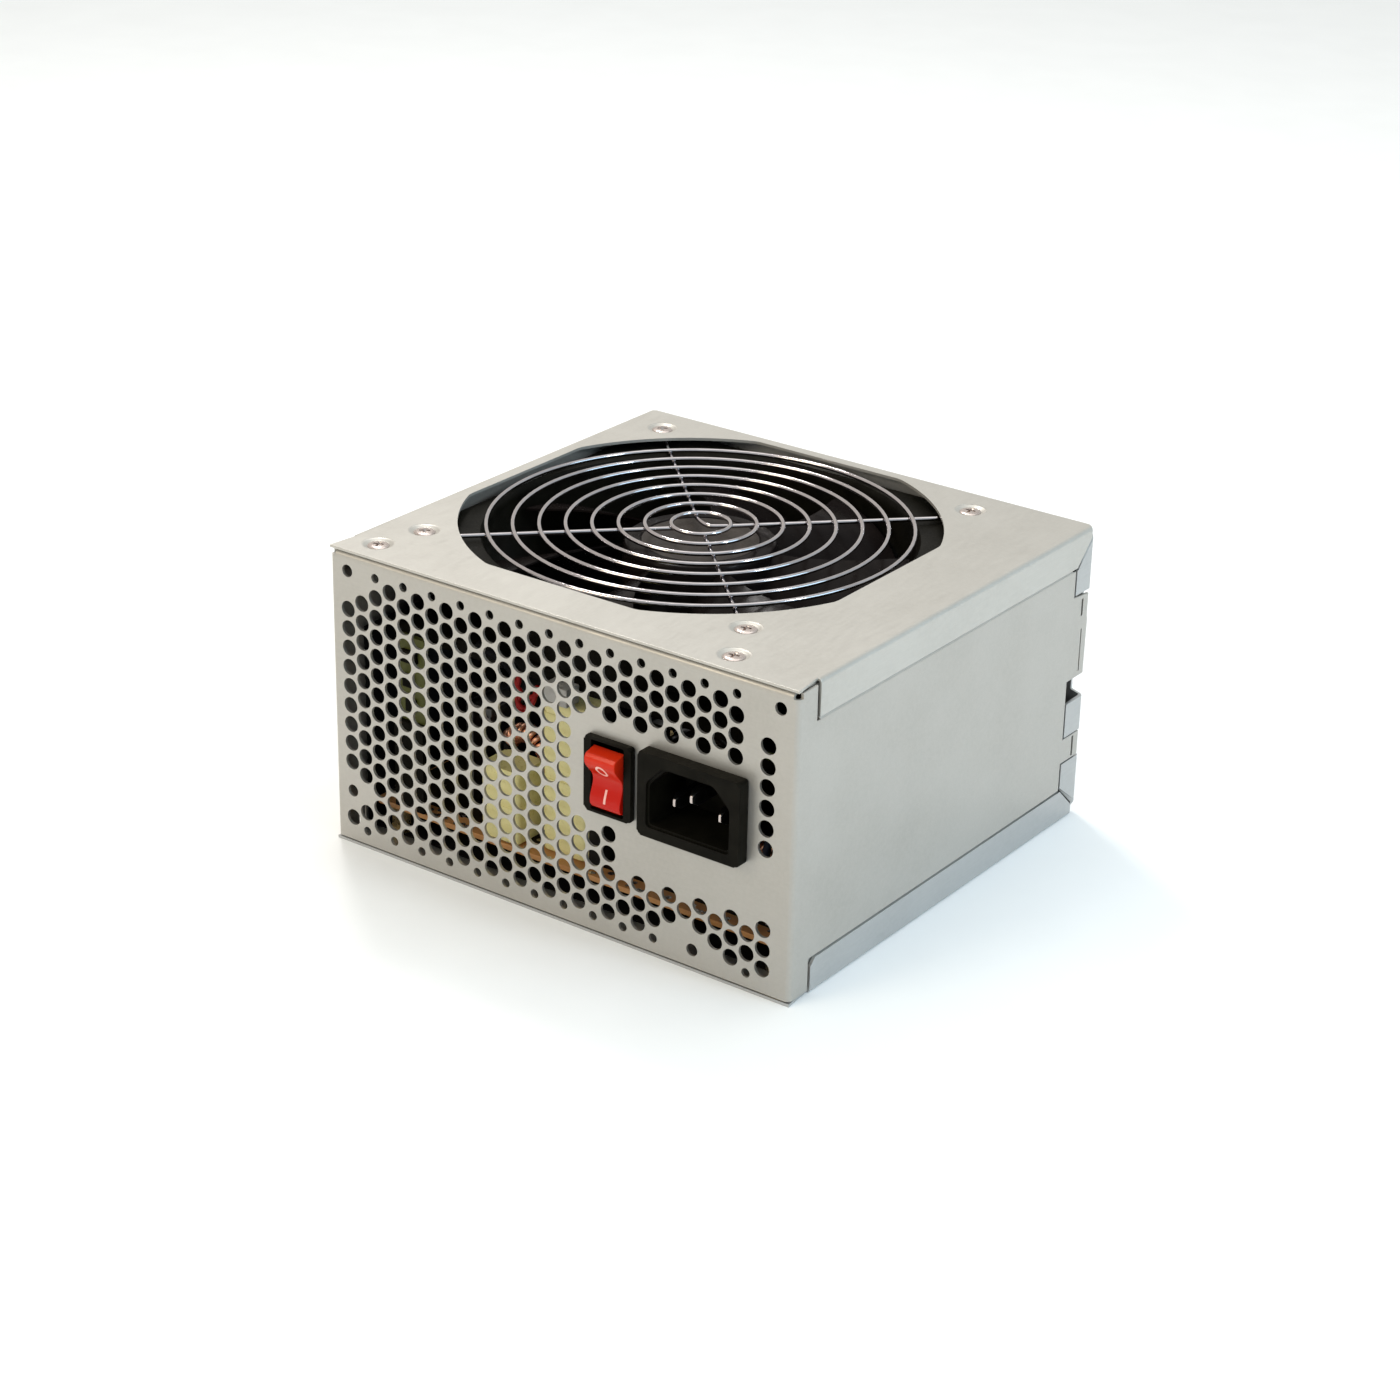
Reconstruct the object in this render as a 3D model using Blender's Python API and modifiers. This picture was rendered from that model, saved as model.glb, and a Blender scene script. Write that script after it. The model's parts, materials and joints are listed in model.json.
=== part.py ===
"""Desktop power supply unit: a folded steel case with a vent panel, a mains inlet, a rocker switch
and a large fan under a wire guard, with the circuit board and its parts inside.

Metres, +Z up. The origin is the centre of the case's bottom face, and the vent panel faces -Y.
"""

import math

import bmesh
import bpy
from mathutils import Matrix, Vector

MM = 0.001

# Case
HALF_WIDTH = 75 * MM
HALF_DEPTH = 70 * MM
HEIGHT = 86 * MM
SHEET = 0.8 * MM
GAP = 0.3 * MM
PANEL_BEND = 1.8 * MM
LIP_BEND = 1.0 * MM
FRONT = -HALF_DEPTH
INNER_TOP = HEIGHT - SHEET - GAP
INNER_BOTTOM = SHEET + GAP
JOGGLE = SHEET + GAP
STRIP_REAR = -62 * MM
LIP_FRONT = -61 * MM
UPPER_LIP = 76 * MM
LOWER_LIP = 9.5 * MM

# Vent panel lattice and chassis holes, as (x, z)
HOLE_RADIUS = 2.3 * MM
SMALL_HOLE_RADIUS = 1.3 * MM
SAME_AREA = 1.1  # a hexagon's corner radius over the radius of the round hole it stands for
COLUMN_STEP = 4.84 * MM
ROW_STEP = 5.56 * MM
FIRST_COLUMN = -69 * MM
FIRST_ROW = 8.0 * MM
COLUMNS = 29
ROWS = 13
CHASSIS_HOLES = ((-69, 80), (69, 80), (-69, 16), (45, 6))
CHASSIS_HOLE_RADIUS = 1.75 * MM

# Mains inlet and rocker switch
INLET_X, INLET_Z = 45.6 * MM, 47.3 * MM
INLET_FLANGE = (31.3 * MM, 23.2 * MM)
INLET_BODY = (27.3 * MM, 19.5 * MM)
INLET_CAVITY = (24.5 * MM, 16.3 * MM)
INLET_FRONT = FRONT - 4 * MM
CAVITY_FLOOR = INLET_FRONT + 16 * MM
INLET_BACK = CAVITY_FLOOR + 3 * MM
PIN_SPACING = 7 * MM
SWITCH_X, SWITCH_Z = 19 * MM, 46.7 * MM
BEZEL = (15 * MM, 21 * MM)
SWITCH_BODY = (13 * MM, 19.2 * MM)
ROCKER_WIDTH = 9.8 * MM
PIVOT_Y = FRONT + 1.5 * MM
REST_TILT = math.radians(11)

# Fan
FAN_X, FAN_Y = -10 * MM, 6 * MM
FAN_SIZE = 120 * MM
FAN_TOP = 82.6 * MM
FAN_DEPTH = 25 * MM
FAN_BOTTOM = FAN_TOP - FAN_DEPTH
FAN_HOLES = 105 * MM
BORE = 58 * MM
OPENING_RADIUS = 65.3 * MM
OPENING_HALF = 60.6 * MM
RING_Z = 84.95 * MM
SPOKE_Z = RING_Z - 1.1 * MM
GUARD_WIRE = 0.75 * MM
INNER_RING = 8 * MM
RING_STEP = 7.1 * MM
RINGS = 8
EYELET = 4.2 * MM
HUB_RADIUS = 21 * MM
BLADE_TIP = 56.6 * MM
BLADES = 7
COVER_SCREWS = ((-65.5, -61.5), (50, -62))
SCREW_HEAD = 3.1 * MM
SCREW_SHAFT = 2.0 * MM
COUNTERSINK = 3.3 * MM
SCREW_BORE = 2.2 * MM
SINK_DEPTH = COUNTERSINK - SCREW_BORE

# Circuit board and cable outlet
BOARD_LOW = 9.9 * MM
BOARD_TOP = BOARD_LOW + 1.6 * MM
BOARD = (-68 * MM, 68 * MM, -62 * MM, 52 * MM)
PART_BASE = BOARD_TOP + GAP
OUTLET_X, OUTLET_Z = -48 * MM, 34 * MM
OUTLET_RADIUS = 8 * MM

ALONG_Y = Matrix.Rotation(math.radians(90), 4, "X")
ALONG_X = Matrix.Rotation(math.radians(90), 4, "Y")


# ---------------------------------------------------------------- building blocks


def clear_scene():
    for obj in list(bpy.data.objects):
        bpy.data.objects.remove(obj)


def new_collection(name):
    collection = bpy.data.collections.new(name)
    bpy.context.scene.collection.children.link(collection)
    return collection


def finish_material(name, colour, roughness, metallic=0.0):
    made = bpy.data.materials.new(name)
    made.use_nodes = True
    shader = made.node_tree.nodes["Principled BSDF"]
    shader.inputs["Base Color"].default_value = (*colour, 1.0)
    shader.inputs["Roughness"].default_value = roughness
    shader.inputs["Metallic"].default_value = metallic
    made.diffuse_color = (*colour, 1.0)
    return made


def place(name, mesh, finish):
    """An object that shows this mesh, as a part when it has a finish and as a helper when it has none."""
    obj = bpy.data.objects.new(name, mesh)
    if finish is None:
        helpers.objects.link(obj)
        obj.hide_render = True
        obj.display_type = "WIRE"
    else:
        parts.objects.link(obj)
        mesh.materials.append(finish)
    return obj


def mesh_of(bm, name):
    mesh = bpy.data.meshes.new(name)
    bm.to_mesh(mesh)
    bm.free()
    return mesh


def box(name, low, high, finish=None):
    low, high = Vector(low), Vector(high)
    bm = bmesh.new()
    bmesh.ops.create_cube(bm, size=1.0)
    bmesh.ops.scale(bm, vec=high - low, verts=bm.verts)
    obj = place(name, mesh_of(bm, name), finish)
    obj.location = (low + high) / 2
    return obj


def prism(bm, centre, radius, length, sides, turn=ALONG_Y):
    """Adds one prism to bm, its axis turned from Z."""
    matrix = Matrix.Translation(centre) @ turn
    bmesh.ops.create_cone(
        bm, cap_ends=True, segments=sides, radius1=radius, radius2=radius, depth=length, matrix=matrix
    )


def rod(name, centre, radius, length, finish=None, turn=Matrix.Identity(4), sides=24):
    bm = bmesh.new()
    prism(bm, (0, 0, 0), radius, length, sides, turn)
    obj = place(name, mesh_of(bm, name), finish)
    obj.location = centre
    smooth(obj)
    return obj


def smooth(obj, angle=35):
    obj.data.shade_smooth()
    obj.data.set_sharp_from_angle(angle=math.radians(angle))


def turned(name, profile, centre, finish=None, sides=32, closed=False, turn=None):
    """Spins (radius, height) points about Z; they run from top to bottom on the outer side."""
    bm = bmesh.new()
    points = [bm.verts.new((radius, 0, height)) for radius, height in profile]
    for first, second in zip(points, points[1:]):
        bm.edges.new((first, second))
    if closed:
        bm.edges.new((points[-1], points[0]))
    obj = place(name, mesh_of(bm, name), finish)
    obj.location = centre
    if turn is not None:
        obj.rotation_euler = turn.to_euler()
    spin = obj.modifiers.new("spin", "SCREW")
    spin.steps = sides
    spin.render_steps = sides
    spin.use_merge_vertices = True
    spin.merge_threshold = 0.00001
    spin.use_smooth_shade = True
    return obj


def ring_profile(outer, inner, low, high):
    return [(inner, high), (outer, high), (outer, low), (inner, low)]


def plate(name, outline, low, high, finish=None):
    """A flat outline of (x, y) points with a thickness along Z."""
    curve = bpy.data.curves.new(name, "CURVE")
    curve.dimensions = "2D"
    curve.fill_mode = "BOTH"
    curve.extrude = (high - low) / 2
    spline = curve.splines.new("POLY")
    spline.points.add(len(outline) - 1)
    for point, (x, y) in zip(spline.points, outline):
        point.co = (x, y, 0, 1)
    spline.use_cyclic_u = True
    flat = bpy.data.objects.new(name + "_outline", curve)
    flat.location = (0, 0, (low + high) / 2)
    return solid_from_curve(name, flat, finish)


def solid_from_curve(name, curve_object, finish):
    """Makes a mesh object of a curve, with its caps welded, and removes the curve."""
    helpers.objects.link(curve_object)
    bpy.context.view_layer.update()
    graph = bpy.context.evaluated_depsgraph_get()
    mesh = bpy.data.meshes.new_from_object(curve_object.evaluated_get(graph))
    bm = bmesh.new()
    bm.from_mesh(mesh)
    bmesh.ops.remove_doubles(bm, verts=bm.verts, dist=0.000001)
    bmesh.ops.recalc_face_normals(bm, faces=bm.faces)
    bm.to_mesh(mesh)
    bm.free()
    mesh.materials.clear()
    obj = place(name, mesh, finish)
    obj.matrix_world = curve_object.matrix_world.copy()
    bpy.data.objects.remove(curve_object)
    return obj


def tube_curve(name, points, radius):
    curve = bpy.data.curves.new(name, "CURVE")
    curve.dimensions = "3D"
    curve.bevel_depth = radius
    curve.bevel_resolution = 2
    curve.use_fill_caps = True
    spline = curve.splines.new("POLY")
    spline.points.add(len(points) - 1)
    for point, position in zip(spline.points, points):
        point.co = (*position, 1)
    return bpy.data.objects.new(name, curve)


def smooth_route(points, per_span=3):
    """Points on a smooth curve through the route's own points."""
    ends = [Vector(p) for p in points]
    padded = [2 * ends[0] - ends[1]] + ends + [2 * ends[-1] - ends[-2]]
    route = []
    for before, start, stop, after in zip(padded, padded[1:], padded[2:], padded[3:]):
        for step in range(per_span):
            t = step / per_span
            route.append(
                0.5
                * (
                    2 * start
                    + (stop - before) * t
                    + (2 * before - 5 * start + 4 * stop - after) * t**2
                    + (3 * start - before - 3 * stop + after) * t**3
                )
            )
    return route + [ends[-1]]


def lead(name, points_mm, radius, finish):
    obj = tube_curve(name, smooth_route([Vector(p) * MM for p in points_mm]), radius)
    parts.objects.link(obj)
    obj.data.materials.append(finish)


def combine(obj, other, operation):
    modifier = obj.modifiers.new(operation.lower() + "_" + other.name, "BOOLEAN")
    modifier.operation = operation
    modifier.solver = "EXACT"
    modifier.object = other


def cut(obj, *cutters):
    for cutter in cutters:
        combine(obj, cutter, "DIFFERENCE")


def join(obj, *others):
    for other in others:
        combine(obj, other, "UNION")


def folded_sheet(name, panels, finish, bend):
    """One bent sheet from the outer faces of its +X half; panels that share an edge fold there."""
    bm = bmesh.new()
    for corners in panels:
        bm.faces.new([bm.verts.new(Vector(corner)) for corner in corners])
    bmesh.ops.remove_doubles(bm, verts=bm.verts, dist=0.00001)
    obj = place(name, mesh_of(bm, name), finish)
    other_half = obj.modifiers.new("other_half", "MIRROR")
    other_half.merge_threshold = 0.00001
    bends = obj.modifiers.new("bends", "BEVEL")
    bends.width = bend
    bends.segments = 3
    bends.limit_method = "ANGLE"
    bends.angle_limit = math.radians(60)
    bends.use_clamp_overlap = False
    thickness = obj.modifiers.new("thickness", "SOLIDIFY")
    thickness.thickness = SHEET
    thickness.offset = -1
    thickness.solidify_mode = "NON_MANIFOLD"
    thickness.nonmanifold_thickness_mode = "CONSTRAINTS"
    thickness.nonmanifold_boundary_mode = "FLAT"
    smooth(obj)
    return obj


def on_side(points_mm, x=HALF_WIDTH):
    """Points given as (y, z) in millimetres, on a plane that faces +X."""
    return [(x, y * MM, z * MM) for y, z in points_mm]


# ---------------------------------------------------------------- folded case


def hole_is_present(column, x, z):
    """The lattice leaves out the inlet, the switch, a strip beside the right edge and the chassis holes."""
    beside_inlet = 6 < x < 64 and 31.5 < z < 62
    under_inlet = 20 < x < 64 and 20 < z < 62
    last_columns = (column == 27 and z > 20) or (column == 28 and 20 < z < 38)
    over_bottom_screw = z < 9 and abs(x - 45) < 9
    near_screw = any(math.hypot(x - sx, z - sz) < 7 for sx, sz in CHASSIS_HOLES)
    if abs(x - 47) < 3 and z > 12 or abs(x - 52) < 3 and z > 10:
        near_screw = False
    return not (beside_inlet or under_inlet or last_columns or over_bottom_screw or near_screw)


def vent_centres():
    """(x, z, is_small) of every vent hole: a hexagonal lattice with a small hole above and below it."""
    centres = []
    for column in range(COLUMNS):
        x = FIRST_COLUMN + column * COLUMN_STEP
        odd = column % 2
        for row in range(ROWS):
            z = FIRST_ROW + (row + odd / 2) * ROW_STEP
            if hole_is_present(column, x / MM, z / MM):
                centres.append((x, z, False))
        if odd and (column <= 21 or column == 27):
            centres.append((x, FIRST_ROW - ROW_STEP / 2, True))
        if not odd and 2 <= column <= 26:
            centres.append((x, FIRST_ROW + ROWS * ROW_STEP, True))
    return centres


def vent_cutter():
    bm = bmesh.new()
    for x, z, is_small in vent_centres():
        radius = SMALL_HOLE_RADIUS if is_small else HOLE_RADIUS
        prism(bm, (x, FRONT, z), radius * SAME_AREA, 6 * MM, 6)
    for x, z in CHASSIS_HOLES:
        prism(bm, (x * MM, FRONT, z * MM), CHASSIS_HOLE_RADIUS, 6 * MM, 12)
    return place("vent_cutter", mesh_of(bm, "vent_cutter"), None)


def panel_cutout(name, x, z, size):
    half_x, half_z = size[0] / 2 + GAP, size[1] / 2 + GAP
    return box(
        name, (x - half_x, FRONT - 5 * MM, z - half_z), (x + half_x, FRONT + 5 * MM, z + half_z)
    )


def countersink(obj, x, y, surface):
    """A dimple pressed into a sheet round a screw: a thin cone under it, cut by the head and the shaft."""
    wall = 0.75 * MM
    floor = surface - SINK_DEPTH
    cup = [
        (0, surface - 0.1 * MM),
        (COUNTERSINK + wall, surface - 0.1 * MM),
        (SCREW_BORE + wall, floor),
        (0, floor),
    ]
    sink = [
        (0, surface + 0.5 * MM),
        (COUNTERSINK + 0.5 * MM, surface + 0.5 * MM),
        (SCREW_BORE, floor),
        (SCREW_BORE, floor - MM),
        (0, floor - MM),
    ]
    label = f"{obj.name}_{len(obj.modifiers)}"
    join(obj, turned("dimple_" + label, cup, (x, y, 0), sides=16))
    cut(obj, turned("sink_" + label, sink, (x, y, 0), sides=16))


def body_shell():
    """The vent panel with both side walls bent back from it, stepped inwards behind the covers' lips."""
    low, high = INNER_BOTTOM, INNER_TOP
    flange_end, flange_rear = 69 * MM, -57 * MM
    step_front, step_rear = -60.5, 60
    wall_low, wall_high = 10.2, 75.2
    tongue_low, tongue_high = 43, 58
    inner = HALF_WIDTH - JOGGLE
    vent_panel = [
        (0, FRONT, low),
        (HALF_WIDTH, FRONT, low),
        (HALF_WIDTH, FRONT, high),
        (flange_end, FRONT, high),
        (0, FRONT, high),
    ]
    top_flange = [
        (0, FRONT, high),
        (flange_end, FRONT, high),
        (flange_end, flange_rear, high),
        (0, flange_rear, high),
    ]
    wall = on_side(
        [
            (FRONT / MM, low / MM),
            (STRIP_REAR / MM, low / MM),
            (STRIP_REAR / MM, wall_low),
            (step_front, wall_low),
            (step_rear, wall_low),
            (step_rear, 18.4),
            (64.6, 18.4),
            (64.6, 25.6),
            (60.4, 25.6),
            (60.4, tongue_low),
            (70, tongue_low),
            (70, tongue_high),
            (64.6, tongue_high),
            (64.6, 67.6),
            (61.2, 67.6),
            (61.2, wall_high),
            (step_rear, wall_high),
            (step_front, wall_high),
            (STRIP_REAR / MM, wall_high),
            (STRIP_REAR / MM, high / MM),
            (FRONT / MM, high / MM),
        ]
    )
    tongue = [
        (68 * MM, HALF_DEPTH, tongue_low * MM),
        (68 * MM, HALF_DEPTH, tongue_high * MM),
        (HALF_WIDTH, HALF_DEPTH, tongue_high * MM),
        (HALF_WIDTH, HALF_DEPTH, tongue_low * MM),
    ]

    def step(outer_z, inner_z):
        """The slope from the wall's plane at outer_z to the recessed plane at inner_z."""
        edge = on_side([(step_front, outer_z), (step_rear, outer_z)])
        back = on_side([(step_rear, inner_z), (step_front, inner_z)], inner)
        return edge + back if inner_z > outer_z else (edge + back)[::-1]

    upper = on_side([(step_front, 75.9), (step_rear, 75.9), (step_rear, 84.4), (step_front, 84.4)], inner)
    lower = on_side([(step_front, 1.2), (step_rear, 1.2), (step_rear, 9.5), (step_front, 9.5)], inner)
    panels = [vent_panel, top_flange, wall, tongue, step(wall_high, 75.9), step(wall_low, 9.5), upper, lower]
    shell = folded_sheet("body_shell", panels, zinc_panel, PANEL_BEND)
    cut(
        shell,
        vent_cutter(),
        panel_cutout("inlet_cutout", INLET_X, INLET_Z, INLET_BODY),
        panel_cutout("switch_cutout", SWITCH_X, SWITCH_Z, SWITCH_BODY),
    )
    for x, y in COVER_SCREWS:
        countersink(shell, x * MM, y * MM, INNER_TOP)


def top_cover():
    """The lid over the fan, with a lip down each side."""
    lip_rear = 68.8
    panels = [
        [
            (0, FRONT, HEIGHT),
            (HALF_WIDTH, FRONT, HEIGHT),
            (HALF_WIDTH, LIP_FRONT, HEIGHT),
            (HALF_WIDTH, lip_rear * MM, HEIGHT),
            (HALF_WIDTH - 2 * MM, HALF_DEPTH, HEIGHT),
            (0, HALF_DEPTH, HEIGHT),
        ],
        on_side(
            [
                (LIP_FRONT / MM, UPPER_LIP / MM),
                (62, UPPER_LIP / MM),
                (lip_rear, 82.8),
                (lip_rear, HEIGHT / MM),
                (LIP_FRONT / MM, HEIGHT / MM),
            ]
        ),
    ]
    cover = folded_sheet("top_cover", panels, zinc_top, LIP_BEND)
    opening = rod("fan_opening", (FAN_X, FAN_Y, HEIGHT), OPENING_RADIUS, 20 * MM, sides=96)
    flats = box(
        "fan_opening_flats",
        (FAN_X - OPENING_HALF, FAN_Y - OPENING_HALF, HEIGHT - 5 * MM),
        (FAN_X + OPENING_HALF, FAN_Y + OPENING_HALF, HEIGHT + 5 * MM),
    )
    combine(opening, flats, "INTERSECT")
    cut(cover, opening)
    for x, y in fan_screw_places():
        countersink(cover, x, y, HEIGHT)
    for x, y in COVER_SCREWS:
        countersink(cover, x * MM, y * MM, HEIGHT)


def base_tray():
    """The floor, the back panel and the tabs that wrap round the back corners."""
    back = HALF_DEPTH
    lip_rear = 67.6
    corner = 72.6 * MM
    top = INNER_TOP
    floor = [
        (0, FRONT, 0),
        (0, back, 0),
        (corner, back, 0),
        (HALF_WIDTH, lip_rear * MM, 0),
        (HALF_WIDTH, LIP_FRONT, 0),
        (HALF_WIDTH, FRONT, 0),
    ]
    lip = on_side([(-61, 0), (lip_rear, 0), (lip_rear, 3.2), (61, 9.5), (-59, 9.5), (-61, 7.5)])
    tab_outlines = (
        [(60.6, 10.8), (70, 3.6), (70, 18), (60.6, 18)],
        [(61, 26), (70, 26), (70, 36), (61, 36)],
        [(61.8, 68), (70, 68), (70, 83), (62.4, 75.4), (61.8, 75.4)],
    )
    notched_edge = [
        (75, 83),
        (75, 68),
        (73, 67.4),
        (73, 59),
        (67, 58.6),
        (67, 42.4),
        (71.5, 42),
        (71.5, 37),
        (75, 36),
        (75, 26),
        (73.4, 26),
        (73.4, 18),
        (75, 18),
        (75, 3.6),
    ]
    back_panel = [(0, back, 0), (0, back, top), (corner, back, top)]
    back_panel += [(x * MM, back, z * MM) for x, z in notched_edge] + [(corner, back, 0)]
    panels = [floor, lip, back_panel] + [on_side(tab) for tab in tab_outlines]
    tray = folded_sheet("base_tray", panels, zinc_base, LIP_BEND)
    outlet = rod("outlet_cutter", (OUTLET_X, back, OUTLET_Z), OUTLET_RADIUS + 2.3 * MM, 6 * MM, turn=ALONG_Y)
    cut(tray, outlet)


def cable_grommet():
    """A moulded bush that lines the cable outlet, with a flange on each side of the back panel."""
    lip, groove = OUTLET_RADIUS + 4.5 * MM, OUTLET_RADIUS + 2 * MM
    profile = [
        (OUTLET_RADIUS, 2 * MM),
        (lip - 0.7 * MM, 2 * MM),
        (lip, 1.3 * MM),
        (lip, GAP),
        (groove, GAP),
        (groove, -SHEET - GAP),
        (lip, -SHEET - GAP),
        (lip, -SHEET - 1.8 * MM),
        (OUTLET_RADIUS, -SHEET - 1.8 * MM),
    ]
    turned(
        "cable_grommet", profile, (OUTLET_X, HALF_DEPTH, OUTLET_Z), black_rubber, sides=20, closed=True,
        turn=Matrix.Rotation(math.radians(-90), 4, "X"),
    )


def cover_screw(name, x, y, length):
    top = HEIGHT - 0.05 * MM
    profile = [
        (0, top),
        (SCREW_HEAD, top),
        (SCREW_SHAFT, top - (SCREW_HEAD - SCREW_SHAFT)),
        (SCREW_SHAFT, top - length),
        (0, top - length),
    ]
    turned(name, profile, (x, y, 0), bright_steel, sides=12)


def case_screws():
    for name, (x, y) in zip(("left", "right"), COVER_SCREWS):
        cover_screw("cover_screw_" + name, x * MM, y * MM, 7 * MM)
    for number, (x, y) in enumerate(fan_screw_places(), 1):
        cover_screw(f"fan_screw_{number}", x, y, 10 * MM)


# ---------------------------------------------------------------- fan and guard


def fan_screw_places():
    half = FAN_HOLES / 2
    corners = ((-1, -1), (1, -1), (1, 1), (-1, 1))
    return [(FAN_X + side_x * half, FAN_Y + side_y * half) for side_x, side_y in corners]


def guard_ring(name, x, y, z, radius, sides):
    bpy.ops.mesh.primitive_torus_add(
        major_radius=radius, minor_radius=GUARD_WIRE, major_segments=sides, minor_segments=4,
        location=(x, y, z),
    )
    ring = bpy.context.object
    ring.name = name
    for collection in list(ring.users_collection):
        collection.objects.unlink(ring)
    return ring


def fan_guard():
    """Round wires in rings, welded on spokes that end in an eyelet round each fan screw."""
    guard = guard_ring("fan_guard", FAN_X, FAN_Y, RING_Z, INNER_RING, 16)
    parts.objects.link(guard)
    guard.data.materials.append(chrome_wire)
    others = []
    for number in range(1, RINGS):
        radius = INNER_RING + number * RING_STEP
        others.append(guard_ring(f"guard_ring_{number}", FAN_X, FAN_Y, RING_Z, radius, 16 + 3 * number))
    for number, (x, y) in enumerate(fan_screw_places()):
        others.append(guard_ring(f"guard_eyelet_{number}", x, y, SPOKE_Z, EYELET, 12))
        outwards = Vector((x - FAN_X, y - FAN_Y, 0)).normalized()
        centre = Vector((FAN_X, FAN_Y, SPOKE_Z))
        start = centre - outwards * GUARD_WIRE if y > FAN_Y else centre + outwards * (INNER_RING - MM)
        end = Vector((x, y, SPOKE_Z)) - outwards * EYELET
        spoke = tube_curve(f"guard_spoke_{number}", [start, (start + end) / 2, end], GUARD_WIRE)
        others.append(solid_from_curve(f"guard_spoke_{number}", spoke, None))
    for other in others:
        if not other.users_collection:
            helpers.objects.link(other)
        other.hide_render = True
        other.display_type = "WIRE"
    join(guard, *others)
    smooth(guard)


def fan_frame():
    """Two square flanges on a barrel, with the motor base held on struts at the bottom."""
    half = FAN_SIZE / 2
    flange = 4 * MM
    centre_z = (FAN_TOP + FAN_BOTTOM) / 2
    frame = rod("fan_frame", (FAN_X, FAN_Y, centre_z), half - 0.4 * MM, FAN_DEPTH, black_plastic, sides=48)
    levels = ((FAN_BOTTOM, FAN_BOTTOM + flange), (FAN_TOP - flange, FAN_TOP))
    for label, (low, high) in zip(("lower", "upper"), levels):
        corners = (FAN_X - half, FAN_Y - half, low), (FAN_X + half, FAN_Y + half, high)
        slab = box(f"fan_{label}_flange", *corners)
        round_corners(slab, 3 * MM, 2)
        join(frame, slab)
    cut(frame, rod("fan_bore", (FAN_X, FAN_Y, centre_z), BORE, 40 * MM, sides=48))
    for number, (x, y) in enumerate(fan_screw_places()):
        cut(frame, rod(f"fan_hole_{number}", (x, y, centre_z), SCREW_BORE, 40 * MM, sides=10))
    base_top = FAN_BOTTOM + 3 * MM
    for number in range(4):
        strut = box(
            f"fan_strut_{number}", (12 * MM, -1.6 * MM, FAN_BOTTOM), (BORE + MM, 1.6 * MM, base_top)
        )
        turn = Matrix.Rotation(math.radians(20 + 90 * number), 4, "Z")
        strut.matrix_world = Matrix.Translation((FAN_X, FAN_Y, 0)) @ turn @ Matrix.Translation(strut.location)
        join(frame, strut)
    base = [
        (3.3 * MM, 74 * MM),
        (4.5 * MM, 74 * MM),
        (4.5 * MM, base_top),
        (HUB_RADIUS, base_top),
        (HUB_RADIUS, FAN_BOTTOM),
        (3.3 * MM, FAN_BOTTOM),
    ]
    join(frame, turned("fan_motor_base", base, (FAN_X, FAN_Y, 0), sides=28, closed=True))


def round_corners(obj, radius, segments):
    """Rounds a box's four upright edges."""
    bm = bmesh.new()
    bm.from_mesh(obj.data)
    upright = [e for e in bm.edges if abs(e.verts[0].co.z - e.verts[1].co.z) > 0.0001]
    bmesh.ops.bevel(
        bm, geom=upright, offset=radius, offset_type="OFFSET", segments=segments, profile=0.5, affect="EDGES"
    )
    bm.to_mesh(obj.data)
    bm.free()


def fan_blade(number, low, high):
    """A thin blade that leans more at the hub than at its tip, as a grid surface with a thickness."""
    bm = bmesh.new()
    along, across = 5, 3
    rows = []
    for i in range(along):
        share = i / (along - 1)
        radius = HUB_RADIUS - MM + share * (BLADE_TIP - HUB_RADIUS + MM)
        sweep = math.radians(30 + 8 * share)
        drop = (high - low) * (1 - 0.25 * share)
        row = []
        for j in range(across):
            t = j / (across - 1) - 0.5
            angle = t * sweep + math.radians(10) * share
            camber = 1.2 * MM * (0.25 - t * t) * 4
            height = (low + high) / 2 + t * drop + camber
            row.append(bm.verts.new((radius * math.cos(angle), radius * math.sin(angle), height)))
        rows.append(row)
    for first, second in zip(rows, rows[1:]):
        for j in range(across - 1):
            bm.faces.new((first[j], second[j], second[j + 1], first[j + 1]))
    obj = place(f"rotor_blade_{number}", mesh_of(bm, f"rotor_blade_{number}"), None)
    obj.location = (FAN_X, FAN_Y, 0)
    obj.rotation_euler = (0, 0, 2 * math.pi * number / BLADES)
    thickness = obj.modifiers.new("thickness", "SOLIDIFY")
    thickness.thickness = 1.6 * MM
    thickness.offset = 0
    return obj


def fan_rotor():
    """The hub cup and its blades; its origin is on the spin axis."""
    top, bottom = 80.6 * MM, 62.5 * MM
    wall = 1.6 * MM
    cup_roof = top - 2 * MM
    boss, boss_low, bore_roof = 3.6 * MM, 75 * MM, 79 * MM
    profile = [
        (0, top),
        (HUB_RADIUS - MM, top),
        (HUB_RADIUS, top - MM),
        (HUB_RADIUS, bottom),
        (HUB_RADIUS - wall, bottom),
        (HUB_RADIUS - wall, cup_roof),
        (boss, cup_roof),
        (boss, boss_low),
        (1.8 * MM, boss_low),
        (1.8 * MM, bore_roof),
        (0, bore_roof),
    ]
    rotor = turned("fan_rotor", profile, (FAN_X, FAN_Y, 0), blade_plastic, sides=35)
    for number in range(BLADES):
        join(rotor, fan_blade(number, 63.5 * MM, 79.5 * MM))


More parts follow.
